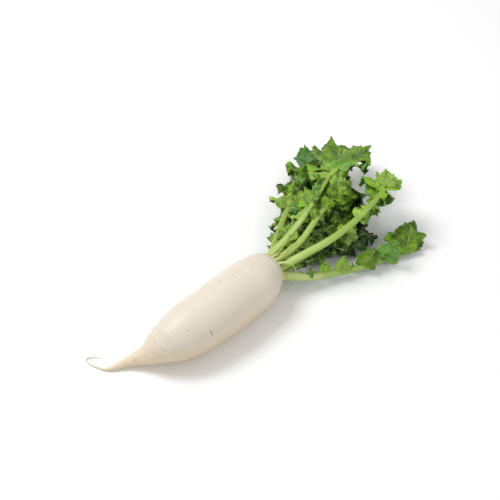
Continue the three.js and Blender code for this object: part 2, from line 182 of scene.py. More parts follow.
for name, (place, width, power) in LAMPS.items():
    lamp_data = bpy.data.lights.new(name, "AREA")
    lamp_data.shape, lamp_data.size, lamp_data.energy = "SQUARE", width, power
    lamp = bpy.data.objects.new(name, lamp_data)
    lamp.location = place
    lamp.rotation_euler = (Vector(place) - Vector(LAMP_AIM)).to_track_quat("Z", "Y").to_euler()
    bpy.context.scene.collection.objects.link(lamp)

world = bpy.data.worlds.new("bright_room")
world.use_nodes = True
world.node_tree.nodes["Background"].inputs["Color"].default_value = (1, 1, 1, 1)
world.node_tree.nodes["Background"].inputs["Strength"].default_value = ROOM_LIGHT
bpy.context.scene.world = world
bpy.context.scene.view_settings.view_transform = "Standard"

bpy.ops.mesh.primitive_plane_add(size=TABLE_WIDTH, location=(0.1, 0, -TABLE_DROP))
floor = bpy.context.object
floor.name = "floor"
floor_paint = bpy.data.materials.new("white_table")
floor_paint.use_nodes = True
paint = floor_paint.node_tree.nodes["Principled BSDF"].inputs
paint["Base Color"].default_value = (TABLE_WHITE, TABLE_WHITE, TABLE_WHITE, 1)
paint["Roughness"].default_value = TABLE_ROUGHNESS
floor.data.materials.append(floor_paint)
print("lamps:", list(LAMPS))

# %% [markdown]
# ## Small helpers for node trees
#
# Both materials and Geometry Nodes are trees of nodes. Each node could be made and linked by hand. A helper
# that adds one node, fills in its inputs and takes either a number or another node's output keeps the trees
# short enough to read from top to bottom.

# %% Helpers for node trees
def put(tree, socket, value):
    """Links an output to an input, or sets the input to a number."""
    if isinstance(value, bpy.types.NodeSocket):
        tree.links.new(value, socket)
    elif value is not None:
        socket.default_value = value


def add(tree, kind, *values, out=0, **settings):
    """Adds a node. values fill its inputs in order, as numbers or sockets, and None skips one."""
    node = tree.nodes.new(kind)
    for key, value in settings.items():
        setattr(node, key, value)
    for socket, value in zip([s for s in node.inputs if s.enabled], values):
        put(tree, socket, value)
    enabled = [s for s in node.outputs if s.enabled]
    return enabled[out] if enabled else node


def maths(tree, operation, *values):
    return add(tree, "ShaderNodeMath", *values, operation=operation)


def times(tree, product, *factors):
    for factor in factors:
        product = maths(tree, "MULTIPLY", product, factor)
    return product


def parts(tree, vector):
    """The x, y and z of a vector."""
    node = tree.nodes.new("ShaderNodeSeparateXYZ")
    put(tree, node.inputs[0], vector)
    return node.outputs


def ramp(tree, value, start, end, low, high, shape="SMOOTHSTEP"):
    """Goes from low to high while value goes from start to end."""
    return add(tree, "ShaderNodeMapRange", value, start, end, low, high, interpolation_type=shape)


def stored(tree, label, is_vector=False):
    """Reads an attribute of the mesh in a material."""
    return add(tree, "ShaderNodeAttribute", attribute_name=label, attribute_type="GEOMETRY",
               out=1 if is_vector else 2)


print("helpers:", [helper.__name__ for helper in (put, add, maths, times, parts, ramp, stored)])

# %% [markdown]
# ## Node groups
#
# What more than one material uses, and every Geometry Nodes tree, is a group with named inputs and outputs. It
# could be copied into each place, but then a change would have to be made in all of them.

# %% Node groups
def group_with(name, kind, inputs, outputs):
    """A new node group with named inputs (name, socket type, default) and outputs (name, socket type)."""
    tree = bpy.data.node_groups.new(name, kind)
    for label, socket_type, default in inputs:
        socket = tree.interface.new_socket(name=label, in_out="INPUT", socket_type="NodeSocket" + socket_type)
        if default is not None:
            socket.default_value = default
    for label, socket_type in outputs:
        tree.interface.new_socket(name=label, in_out="OUTPUT", socket_type="NodeSocket" + socket_type)
    print("node group:", name)
    return tree, tree.nodes.new("NodeGroupInput").outputs, tree.nodes.new("NodeGroupOutput").inputs


# %% [markdown]
# ## Smooth paths
#
# A root or a stalk is a curve with a thickness. It could be drawn with handles. Here the curve goes through a
# few measured points (a Catmull-Rom spline), because those are all that is known of it. At each place on it
# there are three directions: along, to the side and up.

# %% Smooth paths
def along(rows, t):
    """Rows of numbers blended smoothly, t from 0 to 1."""
    rows = np.asarray(rows, float)
    last = len(rows) - 1
    s = np.minimum(np.clip(np.atleast_1d(t), 0, 1) * last, last - 1e-9)
    i = np.floor(s).astype(int)
    f = (s - i)[:, None]
    a, b, c, d = (rows[np.clip(i + k, 0, last)] for k in (-1, 0, 1, 2))
    return 0.5 * (2 * b + (c - a) * f + (2 * a - 5 * b + 4 * c - d) * f ** 2 + (3 * b - a - 3 * c + d) * f ** 3)


def unit(vectors):
    return vectors / np.maximum(np.linalg.norm(vectors, axis=-1, keepdims=True), 1e-12)


def frames_at(path, t, roll=0.0, step=0.004):
    """Point, direction, right-hand side and upward normal on a path, turned about it by roll."""
    t = np.atleast_1d(t)
    point = along(path, t)
    tangent = unit(along(path, np.minimum(1, t + step)) - along(path, np.maximum(0, t - step)))
    level = unit(np.cross(tangent, [0, 0, 1]))
    upright = np.cross(level, tangent)
    return (point, tangent, level * math.cos(roll) + upright * math.sin(roll),
            upright * math.cos(roll) - level * math.sin(roll))


print("middle of the root:", along(ROOT, 0.5)[0].round(1))

# %% [markdown]
# ## The large lobes of a leaf
#
# A leaf's lobes stand in pairs, small ones at the foot of the blade and larger ones towards the end lobe. Each
# could be placed by hand, but no two are alike. So a number generator varies every angle and length a little.

# %% The large lobes of a leaf
END_TEETH = 4  # teeth on each side of an end lobe, which no side lobe has


def dice(seed):
    """A number generator from 0 to 1 that gives the same row of numbers for the same seed."""
    state = [seed * 7919]

    def roll():
        state[0] = (state[0] * 1664525 + 1013904223) & 0xFFFFFFFF
        return state[0] / 4294967296

    roll()
    return roll


def lobes_of(leaf):
    """The large lobes of a leaf, from the end lobe down. f is how far up the blade a lobe stands."""
    roll = dice(leaf["seed"])
    lobes = []
    for pair in range(leaf["pairs"]):
        for hand in (-1, 1):
            f = (pair + 0.5 + 0.3 * (roll() - 0.5) + 0.12 * hand) / leaf["pairs"]
            side = leaf["near"] if hand > 0 else 1
            lobes.append(dict(
                hand=hand, t=leaf["blade"] + (0.97 - leaf["blade"]) * f,
                length=leaf["size"] * (0.25 + 0.75 * f) * (0.85 + 0.3 * roll()) * side,
                angle=(leaf["spread"] - 26 * f + 16 * (roll() - 0.5)) * DEGREE,
                lift=(leaf["fold"] + leaf["stir"] * (roll() - 0.25)) * DEGREE,
                curl=(35 + 85 * roll()) * DEGREE, twist=60 * (roll() - 0.5) * DEGREE,
                phase=2 * math.pi * roll(), breadth=0.46, foot=0.12 + 0.45 * f, teeth=1 + int(2.2 * f)))
    lobes.append(dict(
        hand=1, t=0.985, length=leaf["size"] * leaf["end"], angle=leaf["turn"] * DEGREE, lift=0.1,
        curl=(30 + 50 * roll()) * DEGREE, twist=30 * (roll() - 0.5) * DEGREE, phase=2 * math.pi * roll(),
        breadth=0.48, foot=0.5, teeth=END_TEETH))
    return lobes[::-1]


print("large lobes of a leaf before any is left out:", len(lobes_of(LEAVES[0])))

# %% [markdown]
# ## The shape of a lobe
#
# A lobe is a small leaf of its own: it leaves the midrib at an angle, curls down along its vein, twists a
# little, arches from side to side and ripples towards its edge. It could be sculpted, but there are hundreds.
# All of it is one formula from (u, v), where u runs along the lobe's vein and v from one edge to the other. The
# solids use the same formula with few points.

# %% The shape of a lobe
def lobe_outline(lobe, u):
    return lobe["foot"] * (1 - u) ** 2 + 0.95 * np.sin(np.pi * u ** 0.8).clip(0) ** 0.75 * (1 - 0.15 * u) + 0.05


def lobe_points(leaf, lobe, u, v, tooth, frill=0.0, lift_off=0.0):
    """Mid-surface points for arrays u and v, and the half width there.
    tooth is 1 on a tooth and less between two, frill widens the edge, lift_off moves along the normal."""
    point, tangent, side, normal = (a[0] for a in frames_at(leaf["path"], lobe["t"], leaf["roll"]))
    hand, angle = lobe["hand"], lobe["angle"]
    out = tangent * math.cos(angle) + side * hand * math.sin(angle)
    across = tangent * math.sin(angle) - side * hand * math.cos(angle)
    bend, turn = lobe["lift"] - lobe["curl"] * u, lobe["twist"] * u
    vein = np.cos(bend)[:, None] * out + np.sin(bend)[:, None] * normal
    flat = np.cos(bend)[:, None] * normal - np.sin(bend)[:, None] * out
    wide = np.cos(turn)[:, None] * across + np.sin(turn)[:, None] * flat
    up = np.cos(turn)[:, None] * flat - np.sin(turn)[:, None] * across
    length = lobe["length"]
    half = length * lobe["breadth"] * lobe_outline(lobe, u) * (1 - 0.16 * np.abs(v) * (1 - tooth)) * (1 + frill)
    ripple = 0.13 * length * v * v * np.sin(2 * np.pi * 1.9 * u + lobe["phase"] + np.where(v > 0, 0, 2.3))
    arch = 0.35 * half * (np.abs(v) - 0.75 * v * v)
    along_out = length * (math.sin(lobe["lift"]) - np.sin(bend)) / lobe["curl"]
    along_up = length * (np.cos(bend) - math.cos(lobe["lift"])) / lobe["curl"]
    return (point + along_out[:, None] * out + along_up[:, None] * normal
            + (0.04 * length * np.abs(v) * tooth)[:, None] * vein + (half * v)[:, None] * wide
            + (ripple * np.minimum(1, 4 * u) + arch + lift_off)[:, None] * up), half


print("outline from foot to tip:", lobe_outline(lobes_of(LEAVES[0])[0], np.linspace(0, 1, 5)).round(2))

# %% [markdown]
# ## Nothing through the table
#
# The lowest leaves lie on the table, and a soft blade lies down on it. Low points could be cut off at the
# table's height, but that leaves a hard crease. A smooth curve that never gets below the table is used
# instead. The last tips and waves are also held inside the box that the solids fill.

# %% On the table and inside the box
GROUND_CLEARANCE, LIE_DOWN = 0.55, 0.5
BOX_LOW, BOX_HIGH = (np.array(corner) / MM for corner in cad_box)
BOX_SKIN = 0.1  # how far inside the solids' box the last tips and waves end


def kept_inside(points):
    return np.clip(points, BOX_LOW + [BOX_SKIN, BOX_SKIN, 0], BOX_HIGH - BOX_SKIN)


def on_surface(points):
    half = (points[:, 2] - GROUND_CLEARANCE) / 2
    laid = points.copy()
    laid[:, 2] = GROUND_CLEARANCE + half + np.sqrt(half * half + LIE_DOWN)
    return laid


print("heights -5, 0 and 5 lie at", on_surface(np.array([[0, 0, -5.0], [0, 0, 0], [0, 0, 5]]))[:, 2].round(2))

# %% [markdown]
# ## Stalks as points
#
# To see whether a lobe has room, its distance to whole meshes could be measured. A few points on each stalk are
# enough and much faster. A stalk is widest at its foot, and rounder below than above.

# %% Stalks as points
STALK_RINGS, STALK_SIDES = 90, 8
STALK_ABOVE, STALK_BELOW = 0.55, 0.85  # a stalk's height above and below its line, for a half width of 1


def stalk_half_width(leaf, t):
    return leaf["width"] / 2 * (0.34 + 0.66 * (1 - t) ** 0.9) * (1 + 0.25 * np.exp(-t * 30))


def stalk_samples(leaf):
    t = np.arange(STALK_RINGS + 1) / STALK_RINGS
    point, _, side, normal = frames_at(leaf["path"], t, leaf["roll"])
    half = stalk_half_width(leaf, t)
    rings = []
    for j in range(STALK_SIDES):
        a = 2 * math.pi * j / STALK_SIDES
        above = math.sin(a) * (STALK_ABOVE if math.sin(a) > 0 else STALK_BELOW)
        rings.append(point + (half * math.cos(a))[:, None] * side + (half * above)[:, None] * normal)
    return np.concatenate(rings)


print("points on a stalk:", len(stalk_samples(LEAVES[0])))

# %% [markdown]
# ## Root as points
#
# The root's skin is a radius round a line, with low swellings on top and a plain belly. It could be kept as a
# list of points. A function gives few points here and many for the finished root, and both have one shape.

# %% Root as points
ROOT_RINGS, ROOT_SIDES, ROOT_MARGIN = 36, 22, 2


def around(sides):
    return 2 * np.pi * np.arange(sides) / sides


def skin_relief(x, angle, radius):
    """Low swellings and hollows of the root's skin, none on the belly."""
    share = np.minimum(1, radius / 30) * (0.5 + 0.5 * np.sin(angle))
    return share * (0.6 * np.cos(2 * angle + 0.021 * x + 0.7) + 0.4 * np.sin(0.085 * x + 1.6 * np.cos(angle)))


def root_points(t, angle, grow=0.0):
    """Points of the root's skin for every t (rows) and every angle about its centreline (columns)."""
    point, _, side, normal = (a[:, None] for a in frames_at(ROOT[:, :3], t))
    radius = along(ROOT, t)[:, 3:] + grow
    radius = (radius + skin_relief(point[..., 0], angle[None], radius))[..., None]
    return point + radius * np.cos(angle)[:, None] * side + radius * np.sin(angle)[:, None] * normal


taken = {"root": root_points(np.linspace(0, 1, ROOT_RINGS + 1), around(ROOT_SIDES), ROOT_MARGIN).reshape(-1, 3)}
for leaf in LEAVES:
    taken[leaf["name"]] = stalk_samples(leaf)
for name, path in WITHERED.items():
    taken[name] = along(path, np.arange(41) / 40)
print("points to keep clear of:", sum(len(points) for points in taken.values()))

# %% [markdown]
# ## Leaves keep clear of each other
#
# Real leaves push each other aside. A cloth simulation could do that, but it would be slow, and would not end
# where the solids do. Here each lobe is bent up or down in small steps, and made a little shorter, until all of
# its sample points are clear of the other leaves. It is the same search as in the solids, so it ends at the
# same lobes.

# %% Bend each lobe clear
LEAF_GAP, LOBE_GAP, DEEPEST_DROOP = 5, 2.5, -3
ATTEMPTS, BEND_STEP, SHORTER_STEP = 32, 9 * DEGREE, 0.024
SAMPLE_U, SAMPLE_V = (
    a.ravel() for a in np.meshgrid(np.arange(1, 15) / 14, np.arange(-4, 5) / 4, indexing="ij"))
IS_OUTER = SAMPLE_U > 5.5 / 14  # lobes of one leaf may meet near their feet
outer_parts = {leaf["name"]: np.zeros((0, 3)) for leaf in LEAVES}


def keeps_gap(points, others, gap):
    near = others[np.all((others > points.min(0) - gap) & (others < points.max(0) + gap), axis=1)]
    return len(near) == 0 or np.linalg.norm(points[:, None] - near[None], axis=2).min() >= gap


def is_clear(owner, points, leaf_gap, lobe_gap):
    return (keeps_gap(points[IS_OUTER], outer_parts[owner], lobe_gap)
            and all(keeps_gap(points, others, leaf_gap) for name, others in taken.items() if name != owner))


def bent_clear(leaf, lobe, attempts, leaf_gap, lobe_gap):
    """The lobe as bent and shortened to find room, or None where there is none."""
    for k in range(attempts):
        bend = (1 if k % 2 else -1) * math.ceil(k / 2) * BEND_STEP
        tried = {**lobe, "lift": lobe["lift"] + bend, "length": lobe["length"] * (1 - SHORTER_STEP * k)}
        samples, _ = lobe_points(leaf, tried, SAMPLE_U, SAMPLE_V, np.ones_like(SAMPLE_U))
        laid = on_surface(samples)
        if samples[:, 2].min() > DEEPEST_DROOP and is_clear(leaf["name"], laid, leaf_gap, lobe_gap):
            taken[leaf["name"]] = np.concatenate([taken[leaf["name"]], laid])
            outer_parts[leaf["name"]] = np.concatenate([outer_parts[leaf["name"]], laid[IS_OUTER]])
            return tried
    return None


def all_with_room(lobes_for, attempts, leaf_gap, lobe_gap):
    """For every leaf, those of its lobes that find room."""
    bent = {leaf["name"]: [bent_clear(leaf, lobe, attempts, leaf_gap, lobe_gap) for lobe in lobes_for(leaf)]
            for leaf in LEAVES}
    return {name: [lobe for lobe in lobes if lobe] for name, lobes in bent.items()}


grown = all_with_room(lobes_of, ATTEMPTS, LEAF_GAP, LOBE_GAP)
print("lobes:", {name: len(lobes) for name, lobes in grown.items()})

# %% [markdown]
# ## The small lobes
#
# Between the large lobes and down the stalk a radish leaf carries many small ones, crinkled and turned every
# way. The solids leave them out. Copies of one small lobe could be scattered, but they would look alike and cut
# through the large ones. So they grow by the same rule, after all the large ones, wherever there is still room.

# %% The small lobes
SMALL_LOBES = 60  # places to try on each leaf
SMALL_ATTEMPTS, SMALL_LEAF_GAP, SMALL_LOBE_GAP = 9, 2.4, 1.6
CLEAR_OF_STALK = 2.5


def shows(leaf, lobe):
    """Whether a lobe reaches out of its stalk."""
    return lobe["length"] > stalk_half_width(leaf, lobe["t"]) + CLEAR_OF_STALK


def small_lobes_of(leaf):
    roll = dice(leaf["seed"] + 500)
    first = leaf["blade"] - 0.1
    for k in range(SMALL_LOBES):
        f = (k + roll()) / SMALL_LOBES
        hand = 1 if k % 2 else -1
        lobe = dict(
            hand=hand, t=first + (0.96 - first) * f, angle=(100 - 50 * roll()) * DEGREE,
            length=leaf["size"] * (0.14 + 0.3 * f) * (0.7 + 0.6 * roll()) * (leaf["near"] if hand > 0 else 1),
            lift=(leaf["fold"] - 45 + 80 * roll()) * DEGREE, curl=(50 + 110 * roll()) * DEGREE,
            twist=110 * (roll() - 0.5) * DEGREE, phase=2 * math.pi * roll(), breadth=0.5, foot=0.45, teeth=2)
        if shows(leaf, lobe):
            yield lobe


small = all_with_room(small_lobes_of, SMALL_ATTEMPTS, SMALL_LEAF_GAP, SMALL_LOBE_GAP)
lobes_on = {leaf["name"]: [lobe for lobe in grown[leaf["name"]] if shows(leaf, lobe)] + small[leaf["name"]]
            for leaf in LEAVES}
print("small lobes:", {name: len(lobes) for name, lobes in small.items()})

# %% [markdown]
# ## From points to a mesh
#
# Each piece is built as one mesh from arrays of points and faces. Values that the materials need at each point,
# such as how far it is from a vein, could be painted on an image. They are stored beside the points as named
# attributes instead, because the formula that makes a point knows them.

# %% From points to a mesh
def mesh_piece(name, points, faces, attributes, sharp_above=50):
    mesh = bpy.data.meshes.new(name)
    mesh.from_pydata((points * MM).tolist(), [], faces if isinstance(faces, list) else faces.tolist())
    for label, values in attributes.items():
        values = np.asarray(values, np.float32)
        kind, field = ("FLOAT_VECTOR", "vector") if values.ndim == 2 else ("FLOAT", "value")
        mesh.attributes.new(label, kind, "POINT").data.foreach_set(field, values.ravel())
    mesh.polygons.foreach_set("use_smooth", np.ones(len(mesh.polygons), bool))
    mesh.set_sharp_from_angle(angle=sharp_above * DEGREE)
    mesh.update()
    return linked(name, mesh)


def linked(name, mesh):
    piece = bpy.data.objects.new(name, mesh)
    bpy.context.scene.collection.objects.link(piece)
    return piece


def grid_faces(rows, columns, first=0, flip=False):
    i, j = np.meshgrid(np.arange(rows - 1), np.arange(columns - 1), indexing="ij")
    a = (first + i * columns + j).ravel()
    quads = np.stack([a, a + columns, a + columns + 1, a + 1], axis=1)
    return quads[:, ::-1] if flip else quads


def rim_faces(rows, columns, first, under):
    """Closes the edge between an upper and a lower grid."""
    loop = np.concatenate([
        np.arange(rows) * columns, (rows - 1) * columns + np.arange(1, columns),
        (np.arange(rows - 1)[::-1]) * columns + columns - 1, np.arange(1, columns - 1)[::-1]])
    after = np.roll(loop, -1)
    return np.stack([loop + first, loop + under, after + under, after + first], axis=1)


print("a 3 by 3 grid has", len(grid_faces(3, 3)), "faces and a rim of", len(rim_faces(3, 3, 0, 9)))

# %% [markdown]
# ## The relief of a blade
#
# A blade is not flat between its veins. Its edge is cut into large teeth with small ones on them, it is quilted
# between the side veins, waves run along the edge and the whole lobe is a little crumpled. Bump in a material
# could fake the small ones, but not the outline or the shadows, so all of it goes into the points.

# %% The relief of a blade
SMALL_TEETH = 3  # on each flank of a large tooth
TOOTH_DEPTH, TOOTH_VARIES = 0.58, 0.24
FRILL, FRILL_INSET = 0.13, 0.055
BLUNT_TIP, BLUNT_AT, BLUNT_SPREAD = 0.6, 0.94, 0.065  # how much fuller than its solid a lobe is near its tip
QUILT = 0.06  # height for a lobe of length 1
EDGE_WAVES = ((0.05, 3.7, 3, 1.9), (0.022, 8.3, 5, 2.7))  # height for a length of 1, number, and two shifts
FOLDED_LENGTH, LARGEST_FOLDS = 30, 1.6


def crumple(x, y, phase, length):
    """Unevenness of a blade, in millimetres, at x along and y across. The folds of a large lobe are larger."""
    grow = (length / FOLDED_LENGTH) ** 0.6
    x, y = x / grow, y / grow
    folds = (0.95 * np.sin(0.38 * x + 0.9 * np.sin(0.31 * y + phase) + phase)
             + 0.75 * np.sin(0.55 * y - 0.23 * x + 2.3 * phase)
             + 0.5 * np.sin(0.95 * x + 0.8 * y + 1.4 * np.sin(0.45 * y - 0.3 * x) + 3.1 * phase)
             + 0.26 * np.sin(1.5 * y - 0.9 * x + 1.6 * np.sin(0.6 * x + phase) + 4.3 * phase))
    return 1.15 * folds * min(grow, LARGEST_FOLDS)


def blade_relief(lobe, u, v, steps):
    """For lobe_points: how far out the teeth reach, the frill, and the height of the quilting, waves and folds.
    The last number counts the side veins from the foot of the lobe, and is whole on each of them."""
    edge, length, phase = np.abs(v), lobe["length"], lobe["phase"]
    hand = np.where(v > 0, 0.0, 1.0)
    large_tooth = 1 - np.abs((u * steps) % 2 - 1)
    depth = TOOTH_DEPTH + TOOTH_VARIES * np.sin(2.7 * np.floor((u * steps + 1) / 2) + phase + 2 * hand)
    tooth = 1 - depth * (1 - large_tooth) ** 1.7
    small_tooth = (u * steps * SMALL_TEETH) % 1
    small_size = 0.6 + 0.4 * np.sin(5.1 * u * steps + phase + 2 * hand)
    frill = edge ** 4 * (FRILL * small_tooth * small_size - FRILL_INSET) * np.minimum(1, 8 * u) * (u < 0.985)
    frill += BLUNT_TIP * np.exp(-((u - BLUNT_AT) / BLUNT_SPREAD) ** 2)
    branch = (u + 0.16 * (1 - edge)) * steps / 2 - 0.5
    ridge = np.abs((branch + 0.5) % 1 - 0.5)
    quilt = QUILT * length * (np.sqrt(ridge + 0.02) - 0.35) * edge ** 0.6 * (1 - edge ** 4)
    wave = length * edge ** 3 * sum(height * np.sin(2 * np.pi * count * u + by_lobe * phase + by_side * hand)
                                    for height, count, by_lobe, by_side in EDGE_WAVES)
    raised = (quilt + wave + crumple(u * length, v * length * 0.4, phase, length)) * np.minimum(1, 3 * u)
    return tooth, frill, raised, branch


print("folds of a 30 mm lobe:", crumple(np.arange(0, 30, 10), 0, 0, 30).round(2), "mm")

# %% [markdown]
# ## Rows and columns of a lobe
#
# Every lobe is one grid of points. An even grid would be simplest, but its columns would miss the raised vein
# in the middle and the curled edge, so they stand closer there. Short lobes get fewer faces, because there are
# many of them, and end lobes more, because they are broad.

# %% Rows and columns of a lobe
SHORT_LOBE = 24  # mm
SHORT_ROWS, LONG_ROWS, END_COLUMNS = 2, 3, 33  # rows are for each small tooth
HALF_COLUMNS = np.array([0, 0.05, 0.14, 0.26, 0.4, 0.54, 0.67, 0.79, 0.88, 0.95, 1])


def blade_grid(lobe):
    """Rows along a lobe and the places of the columns across it, ordered so that the top faces up."""
    is_short = lobe["length"] < SHORT_LOBE
    steps = 2 * lobe["teeth"] + 1
    rows = steps * SMALL_TEETH * (SHORT_ROWS if is_short else LONG_ROWS) + 1
    columns = HALF_COLUMNS[::2] if is_short else HALF_COLUMNS
    places = np.concatenate([-columns[:0:-1], columns]) * lobe["hand"]
    if lobe["teeth"] == END_TEETH:
        places = np.interp(np.linspace(0, 1, END_COLUMNS), np.linspace(0, 1, len(places)), places)
    return steps, rows, places


longest = max(lobes_on["leaf_left_high"], key=lambda lobe: lobe["length"])
print("longest lobe:", round(longest["length"]), "mm, rows of points along it:", blade_grid(longest)[1])

# %% [markdown]
# ## One lobe as a closed blade
#
# A radish leaf's blade is about a third of a millimetre thick, with a pale vein down each lobe, side veins that
# run out to the teeth and a frilled edge. A painted flat card would be quick, but it has no silhouette or
# shadow of its own. So the grid is given an upper and a lower side that meet in a closed rim.

# %% One lobe as a closed blade
EDGE_THICKNESS, MIDDLE_THICKER = 0.17, 0.1  # half of the blade's thickness, mm
LOWEST_UNDERSIDE = 0.1
# painted shade: the leaves that lie under the others get a low number and are painted darker
LEAF_TONE_AND_PAINTED_SHADE = {  # how light each leaf's green is, from 0 to 1: the leaves underneath are the dark ones
    "leaf_right_low": 0.65, "leaf_right_long": 0.7, "leaf_middle": 0.6, "leaf_under": 0.15,
    "leaf_left_high": 0.65, "leaf_inner": 0.25, "leaf_left_low": 0.4, "leaf_bottom": 0.1}


def blade_arrays(leaf, lobe, number):
    """Points, faces and attributes of one lobe, its upper side first."""
    steps, rows, places = blade_grid(lobe)
    columns, length = len(places), lobe["length"]
    u, v = (a.ravel() for a in np.meshgrid(np.linspace(0, 1, rows), places, indexing="ij"))
    tooth, frill, raised, branch = blade_relief(lobe, u, v, steps)
    middle, half = lobe_points(leaf, lobe, u, v, tooth, frill, raised)
    middle = on_surface(middle)
    grid = middle.reshape(rows, columns, 3)
    normal = unit(np.cross(np.gradient(grid, axis=0), np.gradient(grid, axis=1))).reshape(-1, 3)
    across, edge = half * v, np.abs(v)
    thick = EDGE_THICKNESS + MIDDLE_THICKER * (1 - edge)
    vein_width = 0.25 + 0.9 * (1 - 0.75 * u) * length / 40
    keel = np.exp(-(across / vein_width) ** 2) * min(1, length / 30)
    top = middle + normal * (thick - 0.25 * keel)[:, None]
    bottom = middle - normal * (thick + 0.75 * keel * (1 - 0.7 * u))[:, None]
    bottom[:, 2] = np.maximum(bottom[:, 2], LOWEST_UNDERSIDE)
    count = rows * columns
    faces = np.concatenate([grid_faces(rows, columns), grid_faces(rows, columns, count, True),
                            rim_faces(rows, columns, 0, count)])
    # each lobe's tone is its leaf's, which holds painted shade, varied a little at random
    tone = LEAF_TONE_AND_PAINTED_SHADE[leaf["name"]] + 0.4 * (number * 0.37 % 1 - 0.5)
    tint = (number * 0.618 + leaf["seed"] * 0.31) % 1
    return kept_inside(np.concatenate([top, bottom])), faces, {
        "blade": np.tile(np.stack([u * length, across, branch], axis=1), (2, 1)),
        "lobe": np.tile(np.stack([u, edge, np.full(count, tone)], axis=1), (2, 1)),
        "under": np.repeat([0, 1], count), "tint": np.full(2 * count, tint)}


print("points of the longest lobe:", len(blade_arrays(LEAVES[4], longest, 0)[0]))

# %% [markdown]
# ## Blades of a whole leaf
#
# All the lobes of a leaf go into one piece, because they move together and share one material. The attributes
# say where each point is: `blade` holds millimetres along and across the lobe and the count of side veins,
# `lobe` the shares along and across and how light the green is, which holds painted shade on the leaves
# underneath, `under` which side it is on, and `tint` a number of its own for each lobe.

# %% Blades of a whole leaf
def blades_of(leaf):
    made = [blade_arrays(leaf, lobe, number) for number, lobe in enumerate(lobes_on[leaf["name"]])]
    points, faces, attributes = zip(*made)
    firsts = np.cumsum([0] + [len(p) for p in points])
    return mesh_piece(leaf["name"] + "_blades", np.concatenate(points),
                      np.concatenate([f + first for f, first in zip(faces, firsts)]),
                      {label: np.concatenate([a[label] for a in attributes]) for label in attributes[0]})


blades = {leaf["name"]: blades_of(leaf) for leaf in LEAVES}
print("blade faces:", {name: len(piece.data.polygons) for name, piece in blades.items()})

# %% [markdown]
# ## A tree for everything long and thin
#
# A leaf stalk is fleshy, rounded below and grooved on top, with fine ridges along it, and it goes on as the
# midrib. The veins, side roots, scales and withered stalks are long and thin too. Each follows a path, so one
# small Geometry Nodes tree sweeps an outline along it: the width at each point and the turn of the top come
# from attributes, and the outline's groove, ridges and height are inputs.

# %% A tree that sweeps an outline along a path
GROOVE_NARROWNESS = 9.0  # the groove fades as e to the power -9 x x


def sweep_tree():
    tree, given, result = group_with(
        "sweep_along_path", "GeometryNodeTree",
        [("Path", "Geometry", None), ("Sides", "Int", 48), ("Above", "Float", 1.0), ("Below", "Float", 1.0),
         ("Groove", "Float", 0.0), ("Ridges", "Float", 0.0), ("Ridge Depth", "Float", 0.0),
         ("Run From", "Float", 0.0), ("Material", "Material", None)],
        [("Mesh", "Geometry")])

    def named(label):
        return add(tree, "GeometryNodeInputNamedAttribute", label, data_type="FLOAT")

    def remember(curve, label, value):
        return add(tree, "GeometryNodeStoreNamedAttribute", curve, None, label, value, data_type="FLOAT",
                   domain="POINT")

    curve = add(tree, "GeometryNodeMeshToCurve", given["Path"])
    curve = add(tree, "GeometryNodeSetCurveNormal", curve, mode="Z_UP")
    curve = add(tree, "GeometryNodeSetCurveTilt", curve, None, named("tilt"))
    run = ramp(tree, add(tree, "GeometryNodeSplineParameter"), 0.0, 1.0, given["Run From"], 1.0, "LINEAR")
    curve = remember(curve, "run", run)

    outline = add(tree, "GeometryNodeCurvePrimitiveCircle", given["Sides"], 1.0, mode="RADIUS")
    x, y, _ = parts(tree, add(tree, "GeometryNodeInputPosition"))
    is_above = maths(tree, "GREATER_THAN", y, 0.0)
    height = add(tree, "ShaderNodeMix", is_above, given["Below"], given["Above"], data_type="FLOAT")
    ridge = maths(tree, "SINE", times(tree, maths(tree, "ARCTAN2", y, x), given["Ridges"]))
    grow = maths(tree, "ADD", 1.0, times(tree, ridge, given["Ridge Depth"]))
    hollow = maths(tree, "POWER", 2.718, times(tree, x, x, -GROOVE_NARROWNESS))
    hollow = times(tree, hollow, is_above, given["Groove"])
    flat = maths(tree, "SUBTRACT", times(tree, y, height, grow), hollow)
    moved = add(tree, "ShaderNodeCombineXYZ", times(tree, x, grow), flat, 0.0)
    outline = add(tree, "GeometryNodeSetPosition", outline, None, moved)
    outline = remember(outline, "around", add(tree, "GeometryNodeSplineParameter"))

    swept = add(tree, "GeometryNodeCurveToMesh", curve, outline, named("radius"), True)
    swept = add(tree, "GeometryNodeSetShadeSmooth", swept)
    swept = add(tree, "GeometryNodeRealizeInstances", swept)
    put(tree, result["Mesh"], add(tree, "GeometryNodeSetMaterial", swept, None, given["Material"]))
    return tree


SWEEP = sweep_tree()

# %% [markdown]
# ## From a tree to a plain mesh
#
# A modifier could stay on the piece, but a part that is passed on should not depend on it. So the tree is run
# once, its result becomes the piece's own mesh, and the modifier is taken off. Its inputs are set by the
# socket's identifier, which stays the same when a label is changed.

# %% From a tree to a plain mesh
def socket_of(tree, label):
    return next(s.identifier for s in tree.interface.items_tree if s.name == label and s.in_out == "INPUT")


def baked(piece, tree, **inputs):
    """Runs a Geometry Nodes tree on piece, and keeps the result as its plain mesh."""
    grow = piece.modifiers.new(tree.name, "NODES")
    grow.node_group = tree
    for label, value in inputs.items():
        grow[socket_of(tree, label.replace("_", " "))] = value
    bpy.context.view_layer.update()
    made = bpy.data.meshes.new_from_object(piece.evaluated_get(bpy.context.evaluated_depsgraph_get()))
    piece.modifiers.remove(grow)
    old, piece.data = piece.data, made
    made.name = piece.name
    bpy.data.meshes.remove(old)
    return piece


